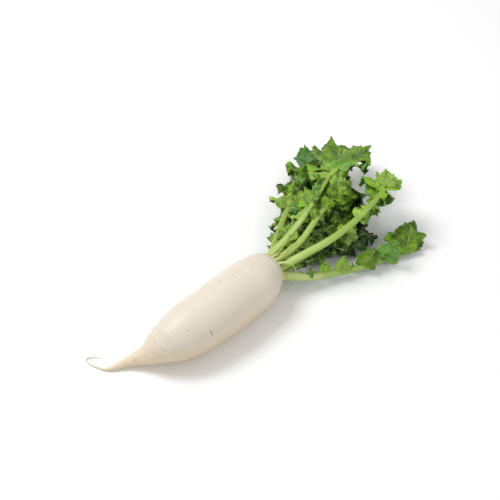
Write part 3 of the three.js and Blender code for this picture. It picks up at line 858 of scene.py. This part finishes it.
def swept(name, lines, **inputs):
    """A piece swept along lines in millimetres. Each is (points, radius at each, roll of its top)."""
    points, radius, roll, edges = [], [], [], []
    first = 0
    for line, thickness, turned in lines:
        steps = np.arange(first, first + len(line) - 1)
        points.append(line)
        radius.append(np.broadcast_to(thickness, len(line)))
        roll.append(np.full(len(line), turned))
        edges.append(np.stack([steps, steps + 1], axis=1))
        first += len(line)
    mesh = bpy.data.meshes.new(name)
    mesh.from_pydata((np.concatenate(points) * MM).tolist(), np.concatenate(edges).tolist(), [])
    for label, values in (("radius", np.concatenate(radius) * MM), ("tilt", math.pi - np.concatenate(roll))):
        mesh.attributes.new(label, "FLOAT", "POINT").data.foreach_set("value", np.asarray(values, np.float32))
    return baked(linked(name, mesh), SWEEP, **inputs)


print("inputs of the sweep:", [s.name for s in SWEEP.interface.items_tree if s.in_out == "INPUT"])

# %% [markdown]
# ## Mottling
#
# Nothing that grew is one even colour. An image of spots would need a map and show its seams. Noise that is
# read from the object's own place has none, so every surface here uses the same small group: soft noise at two
# scales, which can be stretched to make rings or streaks.

# %% Mottling
def mottle_group():
    tree, given, result = group_with(
        "mottle", "ShaderNodeTree",
        [("Size", "Float", 60.0), ("Stretch", "Vector", (1, 1, 1)), ("Contrast", "Float", 1.0)],
        [("Value", "Float"), ("Fine", "Float")])
    place = add(tree, "ShaderNodeTexCoord", out=3)
    place = add(tree, "ShaderNodeVectorMath", place, given["Stretch"], operation="MULTIPLY")
    broad = add(tree, "ShaderNodeTexNoise", place, given["Size"], 3.0, 0.55)
    fine = add(tree, "ShaderNodeTexNoise", place, times(tree, given["Size"], 7.0), 4.0, 0.6)
    centred = times(tree, maths(tree, "SUBTRACT", broad, 0.5), given["Contrast"])
    put(tree, result["Value"], maths(tree, "ADD", centred, 0.5))
    put(tree, result["Fine"], fine)
    return tree


MOTTLE = mottle_group()

# %% [markdown]
# ## Veins
#
# Each lobe has one main vein that thins towards its tip, side veins that run out to the teeth, and a fine net
# between them. An image could show them, but it would have to be fitted to every lobe. The distances that are
# stored on the blades already fit, so a second group turns them into three masks, slightly warped.

# %% Veins
def vein_group():
    tree, given, result = group_with(
        "veins", "ShaderNodeTree", [("Side Vein Width", "Float", 0.05), ("Net Size", "Float", 0.35)],
        [("Main", "Float"), ("Side", "Float"), ("Net", "Float")])
    blade = stored(tree, "blade", is_vector=True)
    warp = add(tree, "ShaderNodeTexNoise", blade, 0.35, 2.0, 0.5, out=1)
    warp = add(tree, "ShaderNodeVectorMath", warp, (0.5, 0.5, 0.5), operation="SUBTRACT")
    warp = add(tree, "ShaderNodeVectorMath", warp, (0.0, 0.5, 0.22), operation="MULTIPLY")
    _, across, branch = parts(tree, add(tree, "ShaderNodeVectorMath", blade, warp, operation="ADD"))
    share_along, share_across, _ = parts(tree, stored(tree, "lobe", is_vector=True))
    width = maths(tree, "MULTIPLY_ADD", share_along, -0.55, 0.75)
    main = ramp(tree, maths(tree, "ABSOLUTE", across), 0.25, maths(tree, "ADD", width, 0.35), 1.0, 0.0)
    near = maths(tree, "SUBTRACT", 0.5, maths(tree, "PINGPONG", maths(tree, "ADD", branch, 0.5), 0.5))
    wide = times(tree, given["Side Vein Width"], maths(tree, "MULTIPLY_ADD", share_across, -0.6, 1.0))
    side = ramp(tree, near, times(tree, wide, 0.3), wide, 1.0, 0.0)
    net = add(tree, "ShaderNodeTexVoronoi", blade, given["Net Size"], feature="DISTANCE_TO_EDGE",
              voronoi_dimensions="2D")
    net = ramp(tree, net, 0.0, 0.09, 1.0, 0.0)
    for label, value in (("Main", main), ("Side", side), ("Net", net)):
        put(tree, result[label], value)
    return tree


VEINS = vein_group()

# %% [markdown]
# ## Helpers for materials
#
# Each material is a Principled BSDF with colours laid over each other, the way a painter glazes: a base, then
# each further colour with a mask or a share of its own. Light goes a little way into fresh leaves and flesh,
# which is what the glow stands for.

# %% Helpers for materials
def material(name, roughness, specular, glow=()):
    """glow is how much light goes in, how far red, green and blue get, and their scale in metres."""
    made = bpy.data.materials.new(name)
    made.use_nodes = True
    surface = made.node_tree.nodes["Principled BSDF"].inputs
    labels = ("Roughness", "Specular IOR Level", "Subsurface Weight", "Subsurface Radius", "Subsurface Scale")
    for label, value in zip(labels, (roughness, specular, *glow)):
        surface[label].default_value = value
    print("material:", name)
    return made, made.node_tree, surface


def colour(red, green, blue):
    """A colour given as on a screen, from 0 to 255, as the light it stands for."""
    linear = [c / 255 / 12.92 if c <= 10 else ((c / 255 + 0.055) / 1.055) ** 2.4 for c in (red, green, blue)]
    return (*linear, 1.0)


def layered(tree, base, *layers):
    """Lays colours over a base, each as (share, colour)."""
    for share, over in layers:
        base = add(tree, "ShaderNodeMix", share, base, over, data_type="RGBA", blend_type="MIX")
    return base


def use(tree, group, **values):
    node = tree.nodes.new("ShaderNodeGroup")
    node.node_tree = group
    for label, value in values.items():
        put(tree, node.inputs[label], value)
    return node.outputs


def bump_with(tree, height, strength, distance):
    node = tree.nodes.new("ShaderNodeBump")
    for label, value in (("Strength", strength), ("Distance", distance), ("Height", height)):
        put(tree, node.inputs[label], value)
    return node.outputs[0]


def facing_up(tree):
    """How far a surface faces up, from 1 on top to -1 underneath."""
    return parts(tree, add(tree, "ShaderNodeNewGeometry", out=1))[2]


# %% [markdown]
# ## Leaf green
#
# The upper side of a radish leaf is a deep fresh green with a soft gloss and pale veins. The underside is paler
# and duller. Two materials would leave a hard line along the rim. Both sides are one material instead: the
# attribute `under` tells them apart, the vein masks draw the lines, and the same masks make the bump. The
# leaves that lie underneath are painted a darker green on both sides, painted shade. Here and there a lobe is
# young and yellowish, or has a bluish bloom.

# %% Leaf green
def blade_material():
    made, tree, surface = material("leaf_blade", 0.5, 0.36, glow=(0.25, (0.35, 1.0, 0.12), 0.0012))
    veins, mottle = use(tree, VEINS), use(tree, MOTTLE, Size=80.0, Contrast=2.1)
    tone, tint = parts(tree, stored(tree, "lobe", is_vector=True))[2], stored(tree, "tint")
    under = ramp(tree, stored(tree, "under"), 0.4, 0.6, 0.0, 1.0, "LINEAR")
    young = ramp(tree, tint, 0.86, 0.9, 0.0, 0.55, "LINEAR")
    bloom = ramp(tree, tint, 0.12, 0.16, 0.45, 0.0, "LINEAR")
    # shade mixes random mottling with the lobe's tone, which darkens the leaves underneath as painted shade
    shade = maths(tree, "MULTIPLY_ADD", mottle["Value"], 0.8, maths(tree, "SUBTRACT", tone, 0.44))
    top = layered(tree, colour(12, 38, 2), (shade, colour(144, 192, 40)), (young, colour(164, 196, 88)),
                  (bloom, colour(94, 150, 82)), (times(tree, veins["Net"], 0.16), colour(128, 168, 66)))
    below = layered(tree, colour(74, 118, 30), (mottle["Value"], colour(112, 152, 52)))
    # painted shade: the undersides of the leaves underneath are darkened too
    below = layered(tree, below, (0.45, colour(40, 70, 14)), (tone, below))
    both = layered(tree, top, (under, below), (times(tree, veins["Side"], 0.5), colour(168, 196, 104)),
                   (times(tree, veins["Main"], 0.95), colour(190, 212, 130)))
    put(tree, surface["Base Color"], both)
    rough = maths(tree, "MULTIPLY_ADD", under, 0.16, maths(tree, "MULTIPLY_ADD", mottle["Fine"], 0.14, 0.34))
    put(tree, surface["Roughness"], rough)
    height = maths(tree, "ADD", times(tree, veins["Side"], -0.6), times(tree, veins["Net"], -0.25))
    height = maths(tree, "ADD", height, times(tree, mottle["Fine"], 0.35))
    put(tree, surface["Normal"], bump_with(tree, height, 0.8, 0.0007))
    return made


BLADE = blade_material()

# %% [markdown]
# ## Stalk green
#
# The stalks are almost white-green at the foot and turn greener along the midrib, and their undersides are
# painted a deeper green, painted shade. Fine lines run along them. Each stalk bends its own way, so a pattern
# laid over the whole plant would not follow it. The attributes `run` and `around` that the sweep left behind
# do, and they place all of it but the painted shade, which follows the way each surface faces.

# %% Stalk green
def stalk_material():
    made, tree, surface = material("leaf_stalk", 0.34, 0.5)
    run, around_it = stored(tree, "run"), stored(tree, "around")
    mottle = use(tree, MOTTLE, Size=40.0, Contrast=1.4)
    lines = add(tree, "ShaderNodeCombineXYZ", times(tree, run, 3.0), times(tree, around_it, 70.0), 0.0)
    lines = add(tree, "ShaderNodeTexNoise", lines, 1.0, 3.0, 0.6)
    # painted shade: surfaces that face down are painted a deeper green
    below = ramp(tree, facing_up(tree), 0.75, -0.5, 0.0, 0.75)
    foot = ramp(tree, run, 0.03, 0.1, 0.42, 0.0)
    green = layered(tree, colour(166, 187, 86), (run, colour(114, 152, 44)),
                    (times(tree, lines, 0.6), colour(126, 160, 62)),
                    (times(tree, mottle["Value"], 0.35), colour(184, 206, 112)),
                    (below, colour(98, 138, 38)), (foot, colour(204, 212, 150)))
    put(tree, surface["Base Color"], green)
    put(tree, surface["Normal"], bump_with(tree, lines, 0.35, 0.0005))
    return made


STALK = stalk_material()

# %% [markdown]
# ## The leaf stalks and ribs
#
# A stalk is swept along its leaf's path and goes on down the vein of the end lobe, so there is no joint where
# the blade begins. Every other lobe has a thinner rib along its own vein. Relief in the blade alone would be
# too soft for it, so the ribs are sweeps too, all of a leaf in one piece. The lowest leaf's stalk is painted
# pale for longer, painted light where the leaves above shade it.

# %% The leaf stalks and ribs
STALK_STEPS, STALK_SHAPE = 130, dict(Sides=30, Above=STALK_ABOVE, Below=STALK_BELOW, Groove=0.08, Ridges=9.0,
                                     Ridge_Depth=0.02)
TIP_STEPS, TIP_RADIUS, SUNK = 36, 0.25, 0.4
RIB_STEPS, RIB_SIDES, RIB_GREEN = 16, 6, 0.6  # a rib is as green as a stalk is this far along
# painted light: the lowest leaf's stalk, which the leaves above shade, is painted pale for longer
STALKS_PAINTED_LIGHT = {"leaf_right_low": -0.35}


def vein_line(leaf, lobe, u):
    """Points along a lobe's own vein."""
    return on_surface(lobe_points(leaf, lobe, u, np.zeros_like(u), np.zeros_like(u))[0])


def stalk_of(leaf):
    end = next((lobe for lobe in lobes_on[leaf["name"]] if lobe["teeth"] == END_TEETH), None)
    t = np.linspace(0.02, end["t"] if end else 1, STALK_STEPS)
    line, radius = along(leaf["path"], t), stalk_half_width(leaf, t)
    if end:
        u = np.linspace(0.05, 0.93, TIP_STEPS)
        line = np.concatenate([line, vein_line(leaf, end, u) - [0, 0, SUNK]])
        radius = np.concatenate([radius, radius[-1] * (1 - u) ** 1.2 + TIP_RADIUS])
    return swept(leaf["name"] + "_stalk", [(line, radius, leaf["roll"])], Material=STALK,
                 Run_From=STALKS_PAINTED_LIGHT.get(leaf["name"], 0.0), **STALK_SHAPE)


def ribs_of(leaf):
    u = np.linspace(0, 0.9, RIB_STEPS)
    lines = [(vein_line(leaf, lobe, u), (0.25 + 0.016 * lobe["length"]) * (1 - u) ** 0.9 + 0.12, 0.0)
             for lobe in lobes_on[leaf["name"]] if lobe["teeth"] < END_TEETH]
    return swept(leaf["name"] + "_ribs", lines, Sides=RIB_SIDES, Material=STALK, Run_From=RIB_GREEN)


stalks = {leaf["name"]: stalk_of(leaf) for leaf in LEAVES}
ribs = {leaf["name"]: ribs_of(leaf) for leaf in LEAVES}
for name in stalks:
    blades[name].data.materials.append(BLADE)
    for piece in (blades[name], stalks[name], ribs[name]):
        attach(piece, "root")
        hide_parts(name)
print("stalk faces:", {name: len(piece.data.polygons) for name, piece in stalks.items()})

# %% [markdown]
# ## Marks on the skin
#
# Where a stone or a knife has touched the skin, or a fine side root has dried off, it turns tan. Painting them
# would need an image. Each mark is the same small group instead: how far a point is from the mark's place, in
# that mark's own size, with an uneven edge. It gives a mask.

# %% Marks on the skin
def mark_group():
    tree, given, result = group_with(
        "mark", "ShaderNodeTree",
        [("Place", "Vector", (0, 0, 0)), ("Size", "Vector", (0.002, 0.002, 0.002)), ("Strength", "Float", 1.0)],
        [("Mask", "Float")])
    place = add(tree, "ShaderNodeTexCoord", out=3)
    off = add(tree, "ShaderNodeVectorMath", place, given["Place"], operation="SUBTRACT")
    off = add(tree, "ShaderNodeVectorMath", off, given["Size"], operation="DIVIDE")
    away = tree.nodes.new("ShaderNodeVectorMath")
    away.operation = "LENGTH"
    put(tree, away.inputs[0], off)
    uneven = add(tree, "ShaderNodeTexNoise", place, 1100.0, 5.0, 0.75)
    away = maths(tree, "ADD", away.outputs["Value"], maths(tree, "MULTIPLY_ADD", uneven, 1.6, -0.8))
    put(tree, result["Mask"], times(tree, ramp(tree, away, 0.1, 1.3, 1.0, 0.0), given["Strength"]))
    return tree


MARK = mark_group()
MARKS = [  # place and half size in millimetres, and strength
    ((66.3, 5.2, 69.5), (1.2, 2.6, 2), 0.55), ((64.2, 3.6, 69.6), (2.6, 1.1, 2), 0.3),
    ((42.9, 8.3, 70.3), (3.2, 1.5, 2), 0.35), ((33.1, 6, 71.1), (1.1, 1.1, 2), 0.65),
    ((30.5, 1.2, 71.4), (1.2, 1.0, 2), 0.5), ((18.8, 11.2, 70), (1.9, 1.4, 2), 0.75),
    ((-31.8, -29, 50.9), (1.1, 4.6, 8), 1.0), ((-55.7, -13.6, 60.6), (2.6, 2.4, 3), 0.3),
    ((-46.6, -16.8, 61), (1.4, 3.4, 3.6), 0.3), ((-111.4, 20.2, 17.4), (0.9, 1.8, 1.6), 0.9),
    ((-102.9, 10.2, 27.6), (1.0, 2.6, 2), 0.7), ((-95.2, 0.4, 37.5), (0.7, 1.3, 1.6), 0.5),
    ((-86, -8.5, 44.2), (1.0, 2.2, 1.6), 0.65), ((-79, -16, 43.6), (0.8, 1.4, 2.4), 0.45),
    ((20, 34, 52), (1.6, 1.4, 1.4), 0.6), ((-40, 33, 46), (1.2, 2.2, 4), 0.6),
    ((72, -30, 46), (2.2, 1, 2), 0.4),
]
print("marks:", len(MARKS))

# %% [markdown]
# ## Root skin
#
# The skin is smooth and cream-white, with faint rings across it. It is a little warmer at the tail and round
# the crown. Where it faces the ground it is painted a darker tan, painted shade. Near the tail there are tan
# specks, where fine roots have come off.
# Each speck could be one more mark, but there are too many. They are the middles of a few cells of a Voronoi
# pattern instead, more of them towards the tail.

# %% Root skin
SPECK_STRENGTH = 0.5


def root_material():
    made, tree, surface = material("root_skin", 0.42, 0.34, glow=(0.12, (1.0, 0.8, 0.5), 0.004))
    broad = use(tree, MOTTLE, Size=14.0, Contrast=1.2)
    rings = use(tree, MOTTLE, Size=26.0, Stretch=(9.0, 0.6, 0.6), Contrast=1.5)
    lines = use(tree, MOTTLE, Size=60.0, Stretch=(8.0, 0.5, 0.5), Contrast=2.2)
    place = add(tree, "ShaderNodeTexCoord", out=3)
    x = parts(tree, place)[0]
    skin = layered(tree, colour(208, 199, 183), (broad["Value"], colour(227, 219, 207)),
                   (times(tree, rings["Value"], 0.3), colour(202, 188, 164)),
                   (times(tree, lines["Value"], 0.14), colour(240, 234, 224)),
                   # painted shade: skin that faces down is painted a warmer, darker tan
                   (ramp(tree, facing_up(tree), 0.7, -0.4, 0.0, 0.7), colour(204, 182, 144)),
                   (ramp(tree, x, -0.07, -0.115, 0.0, 0.5), colour(222, 200, 160)),
                   (ramp(tree, x, 0.088, 0.104, 0.0, 0.7), colour(204, 200, 150)))

    cells = tree.nodes.new("ShaderNodeTexVoronoi")
    spread = add(tree, "ShaderNodeVectorMath", place, (1.5, 0.8, 0.8), operation="MULTIPLY")
    put(tree, cells.inputs["Vector"], spread)
    put(tree, cells.inputs["Scale"], 230.0)
    chosen = tree.nodes.new("ShaderNodeSeparateColor")
    put(tree, chosen.inputs[0], cells.outputs["Color"])
    is_speck = maths(tree, "GREATER_THAN", chosen.outputs[0], ramp(tree, x, -0.04, -0.1, 0.985, 0.7, "LINEAR"))
    speck = ramp(tree, cells.outputs["Distance"], 0.05, 0.3, 1.0, 0.0, "LINEAR")
    mask = times(tree, speck, is_speck, SPECK_STRENGTH)
    for where, size, strength in MARKS:
        one = use(tree, MARK, Place=tuple(v * MM for v in where), Size=tuple(v * MM for v in size),
                  Strength=strength)
        mask = maths(tree, "MAXIMUM", mask, one["Mask"])
    tan = layered(tree, colour(210, 170, 112), (lines["Fine"], colour(164, 116, 62)))
    put(tree, surface["Base Color"], layered(tree, skin, (mask, tan)))
    height = maths(tree, "ADD", rings["Value"], times(tree, lines["Value"], 0.5))
    height = maths(tree, "SUBTRACT", maths(tree, "ADD", height, broad["Fine"]), mask)
    put(tree, surface["Normal"], bump_with(tree, height, 0.3, 0.0006))
    return made


ROOT_SKIN = root_material()

# %% [markdown]
# ## The root
#
# The root is a swollen taproot, so its shape follows one rule: a centreline and a radius. The sweep could make
# it, but not the flat belly, the low swellings and the knobs near the tail, which change round the root as well
# as along it. So it is one closed grid from the same formula as the solid, with many more rings. The last part
# of the tail runs out to a hair.

# %% The root
FINE_RINGS, FINE_SIDES = 420, 112
TAIL_END_THINNER, TAIL_END_T = -0.55, 0.1
KNOBS_FROM_X, HAIRS_FROM_X, HAIRS_ABOVE_Z, HAIRY_ROWS = -62, -60, 6, 0.8


def knobs(x, angle, radius):
    """Small swellings where the root narrows towards its tail, on the upper side only."""
    share = ((KNOBS_FROM_X - x) / 30).clip(0, 1) * ((radius - 2.5) / 5).clip(0, 1) * (0.5 + 0.5 * np.sin(angle))
    return share * (0.38 * np.sin(0.62 * x + 2.2 * np.cos(angle))
                    + 0.26 * np.sin(1.25 * x + 3 * np.sin(angle) + 1))


def root_body():
    """Points, faces and attributes of the skin: rings across it, closed at both ends by a fan."""
    t, angle = np.linspace(0, 1, FINE_RINGS), around(FINE_SIDES)
    thinner = TAIL_END_THINNER * (1 - (t / TAIL_END_T).clip(0, 1)[:, None]) ** 2
    line = along(ROOT, t)
    rings = root_points(t, angle, thinner + knobs(line[:, :1], angle[None], line[:, 3:]))
    rings[..., 2] += thinner
    ends = rings[[0, -1]].mean(1)
    points = kept_inside(np.concatenate([rings.reshape(-1, 3), ends]))
    i, j = np.meshgrid(np.arange(FINE_RINGS - 1) * FINE_SIDES, np.arange(FINE_SIDES), indexing="ij")
    after = (j + 1) % FINE_SIDES
    corners = [i + j, i + FINE_SIDES + j, i + FINE_SIDES + after, i + after]
    faces = np.stack([c.ravel() for c in corners], axis=1).tolist()
    last, tip = (FINE_RINGS - 1) * FINE_SIDES, FINE_RINGS * FINE_SIDES
    faces += [[tip, a, (a + 1) % FINE_SIDES] for a in range(FINE_SIDES)]
    faces += [[tip + 1, last + (a + 1) % FINE_SIDES, last + a] for a in range(FINE_SIDES)]
    in_rows = np.abs(np.cos(np.tile(angle, FINE_RINGS))) > HAIRY_ROWS
    near_tail = ((HAIRS_FROM_X - points[:, 0]) / 20).clip(0, 1) * (points[:, 2] > HAIRS_ABOVE_Z)
    return points, faces, {"hairy": near_tail * np.append(in_rows, [False, False])}


root_piece = mesh_piece("root_fine", *root_body(), sharp_above=60)
root_piece.data.materials.append(ROOT_SKIN)
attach(root_piece, "root")
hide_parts("root")
print("root faces:", len(root_piece.data.polygons))

# %% [markdown]
# ## Side roots
#
# A radish has its side roots in two opposite rows down the tail. Most have come off. The few that are left bend
# down to the table. They could be pulled out of the root's own grid, which would tear at it, so they are
# sweeps that start inside the root and thin out.

# %% Side roots
ROOTLETS, ROOTLET_LENGTH, ROOTLET_RADIUS = 3, 5, 0.48
ROOTLETS_FROM, ROOTLETS_SPAN = 0.27, 0.17  # of the root's centreline


def rootlet_line(k):
    x, y, z, radius = along(ROOT, ROOTLETS_FROM + ROOTLETS_SPAN * k / (ROOTLETS - 1))[0]
    outwards = -1 if k % 2 else 1
    length = ROOTLET_LENGTH * (0.6 + 0.6 * (k * 3 % 5) / 5)
    rows = [[x - length * 0.9 * u * u, y + outwards * (radius * 0.75 + length * 0.7 * u),
             max(0.7, z * (1 - u * u))] for u in (0, 0.3, 0.65, 1)]
    u = np.linspace(0, 1, 24)
    return along(rows, u), ROOTLET_RADIUS * (1 - 0.7 * u), 0.0


side_roots = swept("root_side_roots", [rootlet_line(k) for k in range(ROOTLETS)], Sides=10, Material=ROOT_SKIN)
print("side root faces:", len(side_roots.data.polygons))

# %% [markdown]
# ## Hairs
#
# Between the side roots stand fine hairs. A particle system could grow them, but it is lost when the part is
# passed on. A small Geometry Nodes tree draws places on the skin where the attribute `hairy` allows it, and
# sets a bent hair on each, turned and sized at random from a fixed seed.

# %% A tree that scatters hairs on a skin
HAIR_SEED = 7


def hair_tree():
    tree, given, result = group_with(
        "scatter_hairs", "GeometryNodeTree",
        [("Skin", "Geometry", None), ("Density", "Float", 16000.0), ("Seed", "Int", HAIR_SEED),
         ("Shortest", "Float", 0.001), ("Longest", "Float", 0.006), ("Thickness", "Float", 0.02),
         ("Material", "Material", None)],
        [("Mesh", "Geometry")])
    hairy = add(tree, "GeometryNodeInputNamedAttribute", "hairy", data_type="FLOAT")
    scatter = tree.nodes.new("GeometryNodeDistributePointsOnFaces")
    for label, value in (("Mesh", given["Skin"]), ("Density", times(tree, hairy, given["Density"])),
                         ("Seed", given["Seed"])):
        put(tree, scatter.inputs[label], value)
    hair = add(tree, "GeometryNodeCurveQuadraticBezier", 8, (0, 0, -0.05), (0.05, 0, 0.6), (0.5, 0.1, 0.9))
    tip = maths(tree, "SUBTRACT", 1.0, add(tree, "GeometryNodeSplineParameter"))
    outline = add(tree, "GeometryNodeCurvePrimitiveCircle", 5, given["Thickness"], mode="RADIUS")
    hair = add(tree, "GeometryNodeCurveToMesh", hair, outline, maths(tree, "MULTIPLY_ADD", tip, 0.7, 0.3), True)
    turn = add(tree, "FunctionNodeRandomValue", (-0.5, -0.5, 0.0), (0.5, 0.5, 6.28), data_type="FLOAT_VECTOR")
    turn = add(tree, "FunctionNodeEulerToRotation", turn)
    turn = add(tree, "FunctionNodeRotateRotation", scatter.outputs["Rotation"], turn, rotation_space="LOCAL")
    size = add(tree, "FunctionNodeRandomValue", given["Shortest"], given["Longest"], data_type="FLOAT")
    placed = add(tree, "GeometryNodeInstanceOnPoints", scatter.outputs["Points"], None, hair, None, None,
                 turn, size)
    placed = add(tree, "GeometryNodeRealizeInstances", placed)
    put(tree, result["Mesh"], add(tree, "GeometryNodeSetMaterial", placed, None, given["Material"]))
    return tree


hairs = baked(linked("root_hairs", root_piece.data.copy()), hair_tree(), Seed=HAIR_SEED, Material=ROOT_SKIN)
for piece in (side_roots, hairs):
    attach(piece, "root")
print("hair faces:", len(hairs.data.polygons))

# %% [markdown]
# ## Dry skin at the crown
#
# What withers at the crown is thin and lets light through. The stalks of the first leaves dry to yellow-green
# and are palest at the foot. Scales and sheaths are paler still and brown at the tip. The two differ in their
# colours alone, so one function makes both materials.

# %% Dry skin
def dry_material(name, roughness, glow, mottle_size, dark, light, end_share, end_colour, bump):
    made, tree, surface = material(name, roughness, 0.3, glow)
    mottle = use(tree, MOTTLE, Size=mottle_size, Contrast=1.8)
    tone = layered(tree, colour(*dark), (mottle["Value"], colour(*light)),
                   (end_share(tree, stored(tree, "run")), colour(*end_colour)))
    put(tree, surface["Base Color"], tone)
    put(tree, surface["Normal"], bump_with(tree, mottle["Fine"], *bump))
    return made


WITHERED_SKIN = dry_material(
    "withered_stalk", 0.5, (0.3, (1.0, 0.9, 0.3), 0.001), 120.0, (150, 164, 50), (200, 206, 104),
    lambda tree, run: maths(tree, "POWER", maths(tree, "SUBTRACT", 1.0, run), 3.0), (214, 222, 160),
    (0.4, 0.0003))
SCALE_SKIN = dry_material(
    "crown_scale", 0.45, (0.3, (1.0, 0.9, 0.4), 0.0015), 220.0, (196, 206, 130), (226, 228, 180),
    lambda tree, run: maths(tree, "POWER", run, 4.0), (170, 140, 76), (0.5, 0.0004))

# %% [markdown]
# ## Withered stalks
#
# At the crown are the thin remains of the first leaves, stiff, wrinkled along their length and thicker at the
# foot. A curve with a round bevel would be quick, but smooth. So each is a sweep with a few deep ridges.

# %% Withered stalks
WITHERED_STEPS = 60


def withered_radius(t):
    return 0.6 - 0.25 * t + 1.8 * np.exp(-t * 9)


t = np.linspace(0, 1, WITHERED_STEPS)
for name, path in WITHERED.items():
    piece = swept(name + "_fine", [(along(path, t), withered_radius(t), 0.0)], Sides=16, Ridges=5.0,
                  Ridge_Depth=0.08, Material=WITHERED_SKIN)
    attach(piece, "root")
    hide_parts(name)
    print(name, "is", round(2 * withered_radius(1.0), 2), "mm thick at its tip")

# %% [markdown]
# ## Scales, sheaths and the short stem
#
# The feet of the living stalks are wrapped in small pale scales, the papery edges of the leaves that stood
# there before, and each withered stalk comes out of a sheath. They could be cut from sheets, but they follow
# the stalks, so both are sweeps with a very flat outline: a scale leans on its stalk and lifts off at the tip.
# The short stem that all the leaves grow from fills the crown's middle.

# %% Scales, sheaths and the short stem
FOOT_X = 98  # where the stalks come out of the root
SCALE_SEED, SCALE_STEPS = 97, 20
SCALE_WIDTH, SHEATH_WIDTH, SHEATH_SHARE = 4.2, 3.2, 0.34
STEM_LINE = np.array([[95, 11, 36.5], [101, 12.5, 37], [104, 11, 37], [107, 10, 37.5], [109, 9.5, 38]])
STEM_RADIUS = np.array([13, 14, 12.5, 8, 1])


def scale_line(leaf, hand, length, lift):
    """A flat scale on one flank of a leaf stalk's foot."""
    u = np.linspace(0, 1, SCALE_STEPS)
    start = next(t for t in np.linspace(0, 0.3, 200) if along(leaf["path"], t)[0, 0] > FOOT_X)
    t = start + length / 200 * u
    point, _, side, normal = frames_at(leaf["path"], t, leaf["roll"])
    half = stalk_half_width(leaf, t)[:, None]
    angle = (0.25 + 0.5 * lift) * math.pi
    out = math.cos(angle) * hand * side + math.sin(angle) * normal
    line = point + out * (half * 0.74 + 0.5 + 1.6 * lift * u[:, None] ** 2)
    return line, SCALE_WIDTH * (1 - u ** 3) ** 0.6 + 0.1, leaf["roll"] - hand * (math.pi / 2 - angle)


def sheath_line(path):
    """The papery sheath round a withered stalk's foot."""
    u = np.linspace(0, 1, SCALE_STEPS)
    return along(path, SHEATH_SHARE * u), SHEATH_WIDTH * (1 - u) ** 0.7 + 0.2, 0.5


roll_dice = dice(SCALE_SEED)
scale_lines = [scale_line(leaf, hand, 7 + 8 * roll_dice(), roll_dice()) for leaf in LEAVES for hand in (-1, 1)]
scale_lines += [sheath_line(path) for path in WITHERED.values()]
scales = swept("crown_scales", scale_lines, Sides=12, Above=0.1, Below=0.1, Material=SCALE_SKIN)
stem = swept("crown_stem", [(STEM_LINE, STEM_RADIUS, 0.0)], Sides=32, Ridges=8.0, Ridge_Depth=0.05,
             Material=SCALE_SKIN)
for piece in (scales, stem):
    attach(piece, "root")
print("scales and sheaths:", len(scale_lines))
